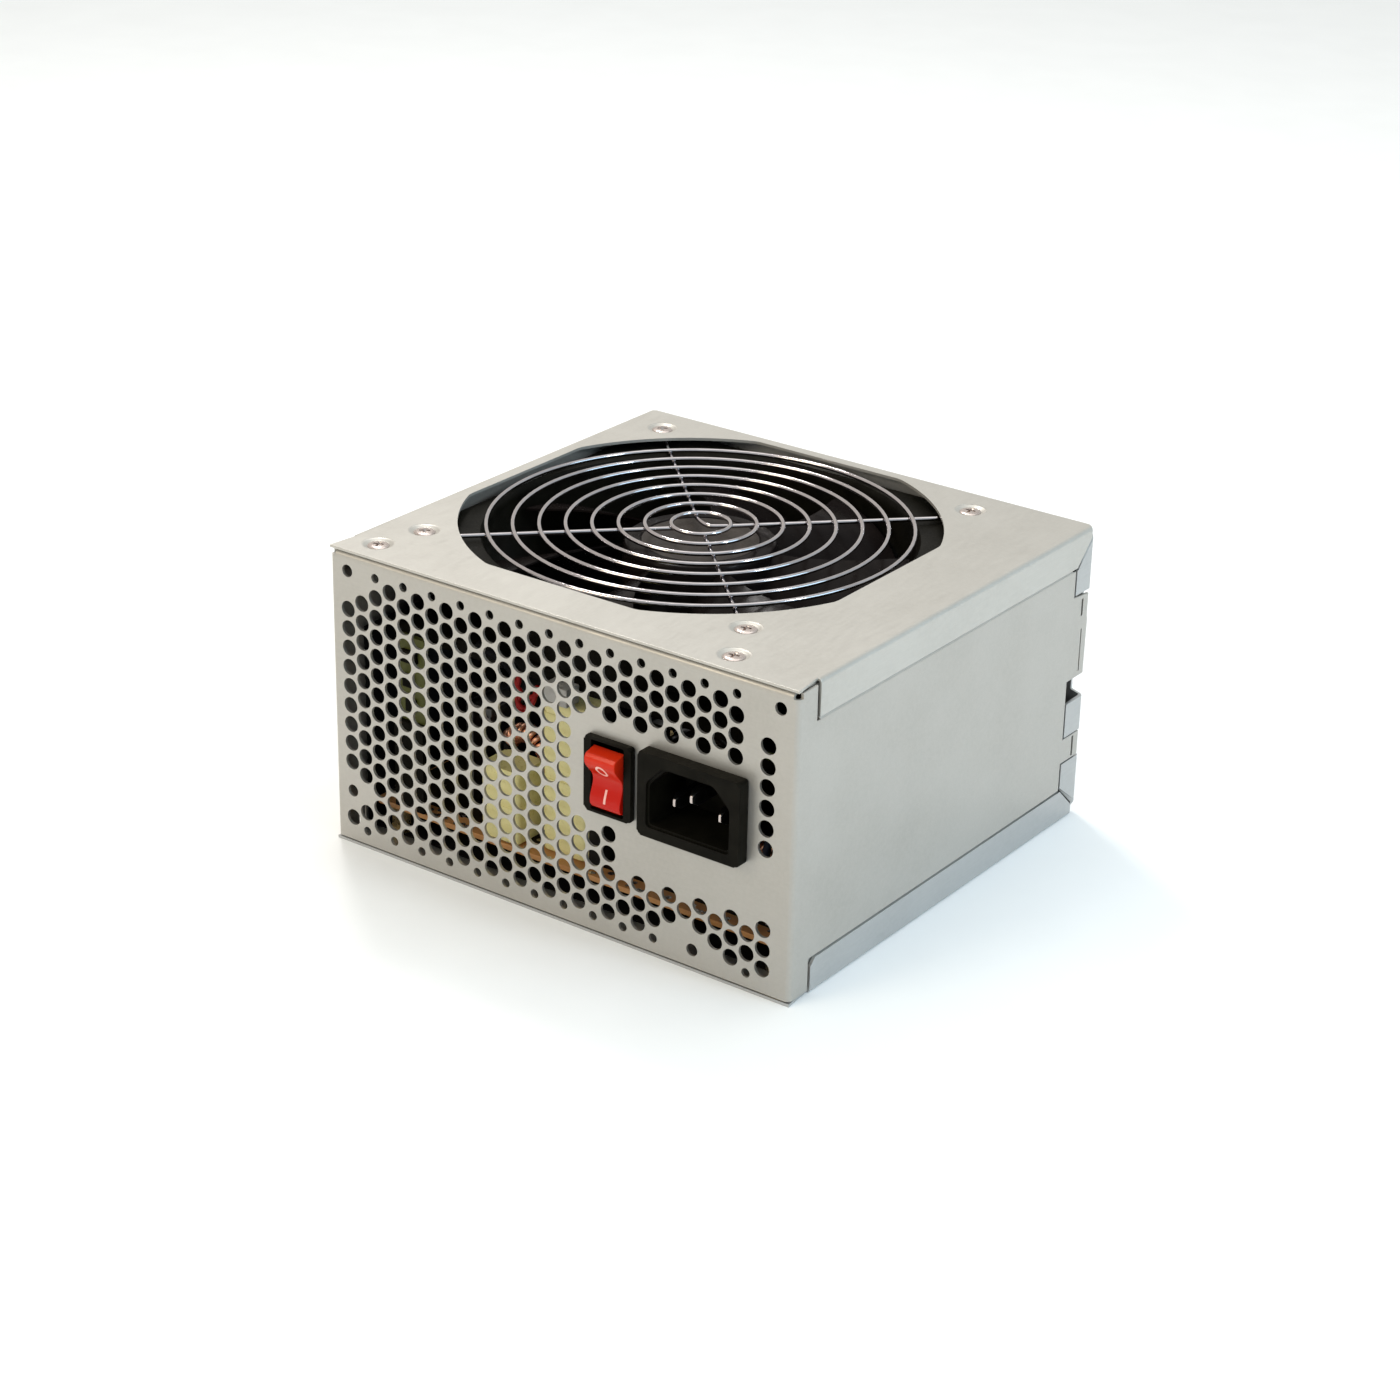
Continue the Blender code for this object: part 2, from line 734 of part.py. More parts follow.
def fan_motor():
    centre = (FAN_X, FAN_Y, 0)
    shaft_low, shaft_high = 61 * MM, 78.7 * MM
    rod("fan_shaft", (FAN_X, FAN_Y, (shaft_low + shaft_high) / 2), 1.5 * MM, shaft_high - shaft_low,
        bright_steel, sides=16)
    turned("fan_bearing", ring_profile(3.0 * MM, 1.55 * MM, 61.5 * MM, 73.5 * MM), centre, brass_metal,
           sides=12, closed=True)
    turned("fan_magnet_ring", ring_profile(19.0 * MM, 17.4 * MM, 64 * MM, 76 * MM), centre, ferrite,
           sides=24, closed=True)
    turned("fan_stator", ring_profile(16.6 * MM, 4.9 * MM, 66 * MM, 74 * MM), centre, copper_wire,
           sides=16, closed=True)
    turned("fan_motor_board", ring_profile(15 * MM, 5 * MM, 61.5 * MM, 62.7 * MM), centre, board_green,
           sides=16, closed=True)


# ---------------------------------------------------------------- inlet and switch


def inlet_outline(width, height, chamfer):
    """The socket's section: a rectangle with its two top corners cut off, as (x, z) about its centre."""
    x, z = width / 2, height / 2
    return [(-x, -z), (x, -z), (x, z - chamfer), (x - chamfer, z), (-x + chamfer, z), (-x, z - chamfer)]


def facing_front(obj, x, z, front):
    """Stands a plate built up from Z = 0 upright, with its depth running from front towards -Y."""
    obj.matrix_world = Matrix.Translation((x, front, z)) @ ALONG_Y @ obj.matrix_world


def inlet_housing():
    """The moulded inlet: a flange outside the panel, a body behind it and a deep socket."""
    flange_rear = FRONT - GAP
    housing = box(
        "inlet_housing",
        (INLET_X - INLET_BODY[0] / 2, flange_rear - MM, INLET_Z - INLET_BODY[1] / 2),
        (INLET_X + INLET_BODY[0] / 2, INLET_BACK, INLET_Z + INLET_BODY[1] / 2),
        black_plastic,
    )
    x, z = INLET_FLANGE[0] / 2, INLET_FLANGE[1] / 2
    notch = 2.3 * MM
    rim = [(-x, -z), (x, -z), (x, z), (-x + notch, z), (-x, z - notch)]
    flange = plate("inlet_flange", rim, 0, flange_rear - INLET_FRONT)
    facing_front(flange, INLET_X, INLET_Z, flange_rear)
    section = inlet_outline(*INLET_CAVITY, 5 * MM)
    depth = CAVITY_FLOOR - INLET_FRONT
    cavity = plate("inlet_socket", section, 0, depth + MM)
    facing_front(cavity, INLET_X, INLET_Z, CAVITY_FLOOR)
    join(housing, flange)
    cut(housing, cavity)
    for name, x, z, _ in pin_places():
        half_x, half_z = MM + GAP, 2 * MM + GAP
        cut(housing, box(
            "slot_" + name,
            (x - half_x, CAVITY_FLOOR - MM, z - half_z),
            (x + half_x, INLET_BACK + MM, z + half_z),
        ))


def pin_places():
    """(name, x, z, how far the tip stands behind the flange's front) of the three blades."""
    return (
        ("inlet_pin_line", INLET_X - PIN_SPACING, INLET_Z - 2 * MM, 4 * MM),
        ("inlet_pin_neutral", INLET_X + PIN_SPACING, INLET_Z - 2 * MM, 4 * MM),
        ("inlet_pin_earth", INLET_X, INLET_Z + 2 * MM, 1.5 * MM),
    )


def inlet_pins():
    for name, x, z, setback in pin_places():
        tip, tail = INLET_FRONT + setback, INLET_BACK + 7 * MM
        box(name, (x - MM, tip, z - 2 * MM), (x + MM, tail, z + 2 * MM), bright_steel)


def switch_housing():
    """A bezel in front of the panel and a box behind it that holds the rocker's pivots."""
    cavity_x, cavity_z = ROCKER_WIDTH / 2 + GAP, 9.7 * MM
    bezel_front = FRONT - 2 * MM
    back = FRONT + 16 * MM
    housing = box(
        "switch_housing",
        (SWITCH_X - SWITCH_BODY[0] / 2, FRONT - MM, SWITCH_Z - SWITCH_BODY[1] / 2),
        (SWITCH_X + SWITCH_BODY[0] / 2, back, SWITCH_Z + SWITCH_BODY[1] / 2),
        black_plastic,
    )
    bezel = box(
        "switch_bezel",
        (SWITCH_X - BEZEL[0] / 2, bezel_front, SWITCH_Z - BEZEL[1] / 2),
        (SWITCH_X + BEZEL[0] / 2, FRONT - GAP, SWITCH_Z + BEZEL[1] / 2),
    )
    mouth = box(
        "switch_mouth",
        (SWITCH_X - cavity_x, bezel_front - MM, SWITCH_Z - cavity_z),
        (SWITCH_X + cavity_x, FRONT + GAP, SWITCH_Z + cavity_z),
    )
    well = box(
        "switch_well",
        (SWITCH_X - cavity_x, FRONT - MM, SWITCH_Z - 8.9 * MM),
        (SWITCH_X + cavity_x, FRONT + 8 * MM, SWITCH_Z + 8.9 * MM),
    )
    pivot = (SWITCH_X, PIVOT_Y, SWITCH_Z)
    pivot_hole = rod("switch_pivot_hole", pivot, 1.5 * MM, 20 * MM, turn=ALONG_X, sides=16)
    join(housing, bezel)
    cut(housing, mouth, well, pivot_hole)
    for name, z in (("line", 4.5), ("load", -4.5)):
        low = (SWITCH_X - 3.15 * MM, back + GAP, SWITCH_Z + z * MM - 0.4 * MM)
        high = (low[0] + 6.3 * MM, back + 7 * MM, low[2] + 0.8 * MM)
        box("switch_terminal_" + name, low, high, brass_metal)


def switch_rocker():
    """A red rocker with a shallow V face, tilted about its pivot so that its lower end is pressed in."""
    half_length = 8.3 * MM
    face = [(5.9 * MM, half_length), (3.2 * MM, 0), (5.9 * MM, -half_length)]
    rear = [(1.0 * MM, -half_length), (-2.5 * MM, -3 * MM), (-2.5 * MM, 3 * MM), (1.0 * MM, half_length)]
    half = ROCKER_WIDTH / 2
    rocker = plate("switch_rocker", [(-forward, up) for forward, up in face + rear], -half, half, red_plastic)
    outline_to_side = Matrix(((0, 0, 1), (1, 0, 0), (0, 1, 0))).to_4x4()
    tilt = Matrix.Rotation(REST_TILT, 4, "X")
    pivot = (SWITCH_X, PIVOT_Y, SWITCH_Z)
    rocker.matrix_world = Matrix.Translation(pivot) @ tilt
    rocker.data.transform(outline_to_side)
    join(rocker, rod("rocker_pivot", pivot, 1.2 * MM, 12.6 * MM, turn=ALONG_X, sides=16))


# ---------------------------------------------------------------- circuit board and its parts


def board_and_standoffs():
    box("circuit_board", (BOARD[0], BOARD[2], BOARD_LOW), (BOARD[1], BOARD[3], BOARD_TOP), board_brown)
    inset = 5 * MM
    number = 0
    for x in (BOARD[0] + inset, BOARD[1] - inset):
        for y in (BOARD[2] + inset, BOARD[3] - inset):
            number += 1
            low, high = SHEET + GAP, BOARD_LOW - GAP
            rod(f"standoff_{number}", (x, y, (low + high) / 2), 3 * MM, high - low, brass_metal, sides=6)
            head = [(0, 2.2 * MM), (1.8 * MM, 2.2 * MM), (3 * MM, 0.8 * MM), (3 * MM, 0), (0, 0)]
            turned(f"board_screw_{number}", head, (x, y, PART_BASE), bright_steel, sides=10)


def main_transformer():
    """A tall taped winding on one leg of a flat ferrite loop, whose outer yoke is as tall as the winding."""
    x_low, x_high, y_low, y_high, z_high = -14 * MM, 2 * MM, -58 * MM, -34 * MM, 55 * MM
    core_low, core_high, leg, yoke = 25 * MM, 37 * MM, 8 * MM, 4 * MM
    leg_front = -50 * MM
    leg_back = leg_front + leg
    core = box(
        "main_transformer_core",
        (x_low - yoke, leg_front, core_low),
        (x_high + yoke, y_high + GAP + 6 * MM, core_high),
        ferrite,
    )
    cut(core, box(
        "core_window",
        (x_low - GAP, leg_back, core_low - MM),
        (x_high + GAP, y_high + GAP, core_high + MM),
    ))
    join(core, box("core_yoke", (x_high + GAP, y_low, PART_BASE), (x_high + yoke, y_high, z_high)))
    corners = (x_low, y_low, PART_BASE), (x_high, y_high, z_high)
    winding = box("main_transformer_winding", *corners, yellow_tape)
    round_corners(winding, 3 * MM, 3)
    cut(winding, box(
        "winding_bore",
        (x_low - MM, leg_front - GAP, core_low - GAP),
        (x_high + MM, leg_back + GAP, core_high + GAP),
    ))


def standby_transformer():
    """The small taped transformer at the board's front edge."""
    corners = (-31.3 * MM, -61.5 * MM, PART_BASE), (-18.6 * MM, -50 * MM, 32.7 * MM)
    taped = box("standby_transformer", *corners, yellow_tape)
    round_corners(taped, 1.5 * MM, 2)


def toroid(name, centre, major, minor, finish, turn=Matrix.Identity(4)):
    bpy.ops.mesh.primitive_torus_add(
        major_radius=major, minor_radius=minor, major_segments=20, minor_segments=8
    )
    ring = bpy.context.object
    ring.name = name
    for collection in list(ring.users_collection):
        collection.objects.unlink(ring)
    parts.objects.link(ring)
    ring.matrix_world = Matrix.Translation(centre) @ turn
    ring.data.materials.append(finish)
    smooth(ring, 60)
    return ring


def chokes():
    """A wound ring that lies on the board, and one that stands on the two ends of its wire."""
    toroid("line_filter_choke", (40 * MM, -30 * MM, 17.5 * MM), 7 * MM, 4 * MM, copper_wire)
    x, y, z, major, minor = -28.5 * MM, -45 * MM, 29 * MM, 6.8 * MM, 2.8 * MM
    standing = toroid("output_choke", (x, y, z), major, minor, copper_wire, ALONG_Y)
    leg_top = z - major
    for side in (-1, 1):
        centre = (x + side * 3 * MM, y, (PART_BASE + leg_top) / 2)
        join(standing, rod(f"choke_leg_{side}", centre, 0.9 * MM, leg_top - PART_BASE, sides=8))


def heatsinks():
    """Two upright aluminium plates, each with its top edge bent over as a finned flange."""
    for name, x, top, reach in (("primary", 9, 50, 13), ("secondary", -46, 42, 9)):
        corners = (x * MM, -50 * MM, PART_BASE), ((x + 2.5) * MM, 40 * MM, top * MM)
        sink = box(f"{name}_heatsink", *corners, aluminium)
        for finger in range(6):
            y = -50 + finger * 15.5
            join(sink, box(
                f"{name}_finger_{finger}",
                ((x + 1) * MM, y * MM, (top - 2.5) * MM),
                ((x + reach) * MM, (y + 12.5) * MM, top * MM),
            ))
    for number, (x, y) in enumerate(((11.8, -20), (11.8, 12)), 1):
        power_transistor(f"switching_transistor_{number}", x * MM, y * MM)
    power_transistor("output_rectifier", -43.2 * MM, 2 * MM)


def power_transistor(name, x, y):
    box(name, (x, y, 16 * MM), (x + 4.6 * MM, y + 10.2 * MM, 31 * MM), black_plastic)


def capacitor(name, x, y, radius, height, finish):
    top = PART_BASE + height
    profile = [
        (0, top),
        (radius - 0.8 * MM, top),
        (radius, top - 0.8 * MM),
        (radius, PART_BASE),
        (0, PART_BASE),
    ]
    turned(name, profile, (x, y, 0), finish, sides=16)


def board_parts():
    main_transformer()
    standby_transformer()
    chokes()
    heatsinks()
    for number, y in enumerate((2, 28), 1):
        capacitor(f"bulk_capacitor_{number}", 40 * MM, y * MM, 11 * MM, 36 * MM, dark_sleeve)
    for number, y in enumerate((-8, 6, 20), 1):
        capacitor(f"output_capacitor_{number}", -59 * MM, y * MM, 5 * MM, 22 * MM, green_sleeve)
    box("control_board", (-59.7 * MM, -61.5 * MM, PART_BASE), (-50.3 * MM, -59.9 * MM, 62 * MM), board_green)
    box("filter_capacitor", (54 * MM, -44 * MM, PART_BASE), (62 * MM, -22 * MM, 27 * MM), yellow_case)
    box("bridge_rectifier", (58 * MM, -12 * MM, PART_BASE), (62 * MM, 10 * MM, 27 * MM), black_plastic)
    rod("mains_fuse", (26 * MM, -50 * MM, PART_BASE + 3 * MM), 2.6 * MM, 20 * MM, fuse_glass, ALONG_X, 16)
    box("fan_connector", (-11.5 * MM, -60 * MM, 55.3 * MM), (-3.5 * MM, -54.5 * MM, 60.5 * MM), white_plastic)


def leads():
    """Internal wires, each from the terminal it is fitted on to the board or the next terminal."""
    line_x, neutral_x = (INLET_X - PIN_SPACING) / MM, (INLET_X + PIN_SPACING) / MM
    tail = (INLET_BACK + 7 * MM) / MM + 1.3
    pin_z, earth_z = INLET_Z / MM - 2, INLET_Z / MM + 2
    terminal = FRONT / MM + 16 + 8.3
    switch_x, line_z, load_z = SWITCH_X / MM, SWITCH_Z / MM + 4.5, SWITCH_Z / MM - 4.5
    lead("lead_inlet_to_switch", [
        (line_x, tail, pin_z), (line_x - 1, tail + 4, pin_z + 1), (31, tail + 6, 49),
        (switch_x + 3, terminal + 4, line_z + 0.5), (switch_x, terminal, line_z),
    ], 1.1 * MM, brown_insulation)
    lead("lead_switch_to_board", [
        (switch_x, terminal, load_z), (switch_x, terminal + 4, load_z - 1), (22, terminal + 5, 34),
        (24, -42, 22), (24, -41, PART_BASE / MM + 0.3),
    ], 1.1 * MM, brown_insulation)
    lead("lead_neutral", [
        (neutral_x, tail, pin_z), (neutral_x, tail + 4, pin_z - 1), (51, tail + 4, 36),
        (49, -44, 24), (48, -44, PART_BASE / MM + 0.3),
    ], 1.1 * MM, blue_insulation)
    lead("lead_earth", [
        (INLET_X / MM, tail, earth_z), (INLET_X / MM + 1, tail + 5, earth_z + 1), (58, tail + 6, 48),
        (65, -40, 40), (66, -42, 24), (65.5, -45, PART_BASE / MM + 0.3),
    ], 1.1 * MM, green_insulation)
    lead("fan_lead", [
        (-36, -55.7, 63), (-28, -57.5, 62.5), (-21.5, -59.5, 61), (-18.8, -60.6, 57.5), (-18.6, -60.8, 53.5),
        (-17.6, -60.4, 51.2), (-16, -59.8, 52.5), (-15.2, -59, 55.5), (-13.8, -57.8, 57.8), (-12.4, -57.3, 58),
    ], 1.4 * MM, red_insulation)


# ---------------------------------------------------------------- the whole unit

clear_scene()
parts = new_collection("power_supply_unit")
helpers = new_collection("cutters")

zinc_panel = finish_material("zinc_panel", (0.50, 0.46, 0.40), 0.38, 1.0)
zinc_top = finish_material("zinc_top", (0.66, 0.64, 0.60), 0.36, 1.0)
zinc_base = finish_material("zinc_base", (0.56, 0.57, 0.56), 0.38, 1.0)
chrome_wire = finish_material("chrome_wire", (0.85, 0.84, 0.83), 0.15, 1.0)
bright_steel = finish_material("bright_steel", (0.78, 0.76, 0.74), 0.25, 1.0)
brass_metal = finish_material("brass", (0.70, 0.52, 0.25), 0.3, 1.0)
aluminium = finish_material("aluminium", (0.72, 0.73, 0.74), 0.4, 1.0)
black_plastic = finish_material("black_plastic", (0.015, 0.015, 0.016), 0.45)
blade_plastic = finish_material("blade_plastic", (0.03, 0.025, 0.025), 0.3)
black_rubber = finish_material("black_rubber", (0.02, 0.02, 0.02), 0.7)
red_plastic = finish_material("red_plastic", (0.70, 0.03, 0.01), 0.3)
white_plastic = finish_material("white_plastic", (0.80, 0.79, 0.74), 0.45)
board_brown = finish_material("board_brown", (0.42, 0.22, 0.08), 0.5)
board_green = finish_material("board_green", (0.16, 0.17, 0.05), 0.5)
ferrite = finish_material("ferrite", (0.05, 0.05, 0.055), 0.6)
copper_wire = finish_material("copper_wire", (0.62, 0.25, 0.10), 0.3, 1.0)
yellow_tape = finish_material("yellow_tape", (0.72, 0.58, 0.12), 0.35)
yellow_case = finish_material("yellow_case", (0.75, 0.55, 0.08), 0.4)
dark_sleeve = finish_material("dark_sleeve", (0.02, 0.02, 0.03), 0.35)
green_sleeve = finish_material("green_sleeve", (0.02, 0.10, 0.06), 0.35)
fuse_glass = finish_material("fuse_glass", (0.75, 0.75, 0.72), 0.15)
brown_insulation = finish_material("brown_insulation", (0.06, 0.03, 0.02), 0.45)
blue_insulation = finish_material("blue_insulation", (0.03, 0.10, 0.40), 0.45)
green_insulation = finish_material("green_insulation", (0.35, 0.45, 0.05), 0.45)
red_insulation = finish_material("red_insulation", (0.60, 0.03, 0.02), 0.45)

body_shell()
top_cover()
base_tray()
cable_grommet()
case_screws()
fan_guard()
fan_frame()
fan_rotor()
fan_motor()
inlet_housing()
inlet_pins()
switch_housing()
switch_rocker()
board_and_standoffs()
board_parts()
leads()
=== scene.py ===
"""Looks of a desktop power supply unit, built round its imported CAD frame: folded zinc-plated sheet,
a wire guard over a dark fan, a mains inlet, a red rocker switch and the parts seen through the vents.

Shapes are built in millimetres and scaled when they become objects.
"""

import json
import math
import random

import bmesh
import bpy
from mathutils import Matrix, Vector


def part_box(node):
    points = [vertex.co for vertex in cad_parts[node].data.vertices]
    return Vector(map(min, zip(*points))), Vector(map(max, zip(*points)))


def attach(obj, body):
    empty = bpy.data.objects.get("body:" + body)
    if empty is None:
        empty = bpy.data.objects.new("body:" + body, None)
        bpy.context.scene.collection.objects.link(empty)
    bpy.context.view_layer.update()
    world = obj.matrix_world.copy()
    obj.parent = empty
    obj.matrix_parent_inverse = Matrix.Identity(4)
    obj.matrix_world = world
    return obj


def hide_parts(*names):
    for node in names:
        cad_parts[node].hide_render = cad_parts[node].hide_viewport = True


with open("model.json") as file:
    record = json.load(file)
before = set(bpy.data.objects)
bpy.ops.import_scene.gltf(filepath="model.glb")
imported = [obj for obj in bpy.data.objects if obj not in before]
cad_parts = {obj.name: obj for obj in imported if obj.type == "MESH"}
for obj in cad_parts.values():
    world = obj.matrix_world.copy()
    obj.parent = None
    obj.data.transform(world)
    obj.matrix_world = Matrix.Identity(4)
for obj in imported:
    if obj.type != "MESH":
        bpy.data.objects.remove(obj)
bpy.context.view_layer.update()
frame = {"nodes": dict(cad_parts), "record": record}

MM = 0.001
CASE, ROTOR, ROCKER = "case", "fan_rotor_body", "rocker_body"


def cad(node):
    low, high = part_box(node)
    margin = Vector((0.01, 0.01, 0.01))
    return Vector(low) / MM + margin, Vector(high) / MM - margin


SHELL_LOW, SHELL_HIGH = cad("body_shell")
COVER_LOW, COVER_HIGH = cad("top_cover")
FAN_LOW, FAN_HIGH = cad("fan_frame")
INLET_LOW, INLET_HIGH = cad("inlet_housing")
SWITCH_LOW, SWITCH_HIGH = cad("switch_housing")
BOARD_LOW, BOARD_HIGH = cad("circuit_board")
HALF_WIDTH = COVER_HIGH.x
HALF_DEPTH = COVER_HIGH.y
FRONT = COVER_LOW.y
HEIGHT = COVER_HIGH.z
SHEET = 0.8
FAN_X, FAN_Y = (FAN_LOW.x + FAN_HIGH.x) / 2, (FAN_LOW.y + FAN_HIGH.y) / 2
INLET_X, INLET_Z = (INLET_LOW.x + INLET_HIGH.x) / 2, (INLET_LOW.z + INLET_HIGH.z) / 2
SWITCH_X, SWITCH_Z = (SWITCH_LOW.x + SWITCH_HIGH.x) / 2, (SWITCH_LOW.z + SWITCH_HIGH.z) / 2
COVER_SCREWS = {"cover_screw_left": (-65.5, -61.5), "cover_screw_right": (50, -62)}
FAN_SCREWS = {
    "fan_screw_1": (FAN_X - 52.5, FAN_Y - 52.5),
    "fan_screw_2": (FAN_X + 52.5, FAN_Y - 52.5),
    "fan_screw_3": (FAN_X + 52.5, FAN_Y + 52.5),
    "fan_screw_4": (FAN_X - 52.5, FAN_Y + 52.5),
}
FACING_FRONT = Matrix.Rotation(math.radians(90), 4, "X")
ALONG_X = Matrix.Rotation(math.radians(90), 4, "Y")


# ---------------------------------------------------------------- camera, floor and light


def camera():
    """A long lens above the right front corner."""
    azimuth, elevation, roll = math.radians(35.85), math.radians(24.36), math.radians(1.23)
    target = Vector((3.82, -11.79, 43.0)) * MM
    distance = 847.55 * MM
    back = Vector((
        math.sin(azimuth) * math.cos(elevation),
        -math.cos(azimuth) * math.cos(elevation),
        math.sin(elevation),
    ))
    right = Vector((math.cos(azimuth), math.sin(azimuth), 0))
    up = back.cross(right)
    rolled_right = math.cos(roll) * right + math.sin(roll) * up
    rolled_up = math.cos(roll) * up - math.sin(roll) * right
    data = bpy.data.cameras.new("camera")
    data.sensor_width = 36
    data.lens = 81.31
    data.clip_start = 10 * MM
    obj = bpy.data.objects.new("camera", data)
    turn = Matrix((rolled_right, rolled_up, back)).transposed().to_4x4()
    obj.matrix_world = Matrix.Translation(target + back * distance) @ turn
    bpy.context.scene.collection.objects.link(obj)
    bpy.context.scene.camera = obj


def area_light(name, place, aim, size, power, colour):
    """A soft box at place that faces aim."""
    data = bpy.data.lights.new(name, "AREA")
    data.shape = "RECTANGLE"
    data.size, data.size_y = size
    data.energy = power
    data.color = colour
    obj = bpy.data.objects.new(name, data)
    obj.location = place
    obj.rotation_euler = (Vector(aim) - Vector(place)).to_track_quat("-Z", "Y").to_euler()
    bpy.context.scene.collection.objects.link(obj)


def surround():
    """An even pale room, cooler on the right and warmer on the left."""
    world = bpy.data.worlds.new("surround")
    world.use_nodes = True
    tree = world.node_tree
    place = tree.nodes.new("ShaderNodeTexCoord")
    split = tree.nodes.new("ShaderNodeSeparateXYZ")
    tree.links.new(place.outputs["Generated"], split.inputs["Vector"])
    rightness = remap(tree, split.outputs["X"], 0, 1, -0.7, 0.9)
    colour = blend_colours(tree, rightness, (1.0, 0.95, 0.88), (0.80, 0.93, 1.0))
    tree.links.new(colour, tree.nodes["Background"].inputs["Color"])
    tree.nodes["Background"].inputs["Strength"].default_value = 0.80
    bpy.context.scene.world = world


def studio():
    """A pale floor and surround, soft boxes on the right, in front and above, and two lamps."""
    bm = bmesh.new()
    bmesh.ops.create_grid(bm, x_segments=1, y_segments=1, size=4 / MM)
    floor = object_of(bm, "floor")
    floor.data.materials.append(finishes["floor_paper"])
    surround()
    middle = (0, 0, 0.05)
    area_light("soft_box_right", (1.1, 0.15, 0.55), middle, (0.7, 0.6), 3.5, (0.46, 0.76, 1.0))
    area_light("soft_box_front", (-0.5, -1.1, 0.75), middle, (0.6, 0.5), 5.0, (1.0, 0.87, 0.66))
    area_light("soft_box_above", (-0.1, 0.2, 1.2), middle, (0.9, 0.9), 3.0, (1.0, 0.98, 0.95))
    area_light("lamp_left", (-0.52, 0.37, 0.85), middle, (0.14, 0.14), 2.6, (1.0, 0.97, 0.95))
    area_light("lamp_right", (0.84, 0.0, 0.63), middle, (0.14, 0.14), 1.8, (0.85, 0.93, 1.0))
    bpy.context.scene.view_settings.view_transform = "Standard"


# ---------------------------------------------------------------- shapes


def object_of(bm, name):
    """An object with this mesh, its faces turned outwards."""
    bmesh.ops.recalc_face_normals(bm, faces=bm.faces)
    bmesh.ops.scale(bm, vec=(MM, MM, MM), verts=bm.verts)
    mesh = bpy.data.meshes.new(name)
    bm.to_mesh(mesh)
    bm.free()
    obj = bpy.data.objects.new(name, mesh)
    bpy.context.scene.collection.objects.link(obj)
    return obj


def shape(add, *measures, **options):
    """A new mesh that holds one box, plate, lathe or tube."""
    bm = bmesh.new()
    add(bm, *measures, **options)
    return bm


def settle(obj):
    """Applies the object's modifiers."""
    graph = bpy.context.evaluated_depsgraph_get()
    mesh = bpy.data.meshes.new_from_object(obj.evaluated_get(graph))
    obj.modifiers.clear()
    obj.data = mesh


def combine(obj, bm, operation="DIFFERENCE"):
    """Cuts the shape in bm away from obj, or joins it on."""
    other = object_of(bm, "other")
    modifier = obj.modifiers.new("combine", "BOOLEAN")
    modifier.operation = operation
    modifier.solver = "EXACT"
    modifier.object = other
    settle(obj)
    bpy.data.objects.remove(other)


def show(obj, finish, body=CASE, nodes=(), angle=35):
    """Dresses a finished piece and hangs it on its body, in place of these CAD nodes."""
    obj.data.materials.clear()
    obj.data.materials.append(finishes[finish])
    obj.data.shade_smooth()
    obj.data.set_sharp_from_angle(angle=math.radians(angle))
    flat_first = obj.modifiers.new("flat_first", "WEIGHTED_NORMAL")
    flat_first.keep_sharp = True
    settle(obj)
    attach(obj, body)
    if nodes:
        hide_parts(*nodes)
    return obj


def add_box(bm, low, high, edge=0.0, segments=2):
    """A box with every edge rounded by edge."""
    low, high = Vector(low), Vector(high)
    part = bmesh.new()
    bmesh.ops.create_cube(part, size=1.0)
    bmesh.ops.scale(part, vec=high - low, verts=part.verts)
    if edge:
        bmesh.ops.bevel(part, geom=list(part.edges), offset=edge, offset_type="OFFSET",
                        segments=segments, profile=0.5, affect="EDGES")
    append(bm, part, Matrix.Translation((low + high) / 2))


def append(bm, part, matrix=Matrix.Identity(4)):
    """Moves a small mesh into a bigger one."""
    copies = {vert: bm.verts.new(matrix @ vert.co) for vert in part.verts}
    for face in part.faces:
        bm.faces.new([copies[vert] for vert in face.verts])
    part.free()


def add_lathe(bm, profile, centre=(0, 0, 0), sides=48, turn=Matrix.Identity(4), closed=False):
    """(radius, height) points spun about Z, or about the axis that turn gives."""
    matrix = Matrix.Translation(centre) @ turn
    rings = []
    for radius, height in profile:
        count = sides if radius else 1
        angles = [2 * math.pi * i / sides for i in range(count)]
        points = [Vector((radius * math.cos(a), radius * math.sin(a), height)) for a in angles]
        rings.append([bm.verts.new(matrix @ point) for point in points])
    pairs = list(zip(rings, rings[1:]))
    if closed:
        pairs.append((rings[-1], rings[0]))
    for first, second in pairs:
        for i in range(sides):
            j = (i + 1) % sides
            corners = [first[i % len(first)], first[j % len(first)]]
            corners += [second[j % len(second)], second[i % len(second)]]
            bm.faces.new(list(dict.fromkeys(corners)))


def add_tube(bm, points, radius, sides=10, closed=False):
    """A round wire along these points, with flat ends unless it closes on itself."""
    points = [Vector(point) for point in points]
    count = len(points)
    across = Vector((0, 0, 1))
    rings = []
    for i, point in enumerate(points):
        before = points[i - 1] if closed or i else point
        after = points[(i + 1) % count] if closed or i < count - 1 else point
        along = (after - before).normalized()
        if abs(along.dot(across)) > 0.95:
            across = along.orthogonal()
        across = (across - along * across.dot(along)).normalized()
        side = along.cross(across)
        angles = [2 * math.pi * k / sides for k in range(sides)]
        spokes = [radius * (math.cos(a) * across + math.sin(a) * side) for a in angles]
        rings.append([bm.verts.new(point + spoke) for spoke in spokes])
    pairs = list(zip(rings, rings[1:]))
    if closed:
        pairs.append((rings[-1], rings[0]))
    else:
        bm.faces.new(rings[0][::-1])
        bm.faces.new(rings[-1])
    for first, second in pairs:
        for k in range(sides):
            bm.faces.new((first[k], first[(k + 1) % sides], second[(k + 1) % sides], second[k]))


def circle(x, y, z, radius, sides=72):
    """Points round a level circle."""
    angles = [2 * math.pi * i / sides for i in range(sides)]
    return [(x + radius * math.cos(a), y + radius * math.sin(a), z) for a in angles]


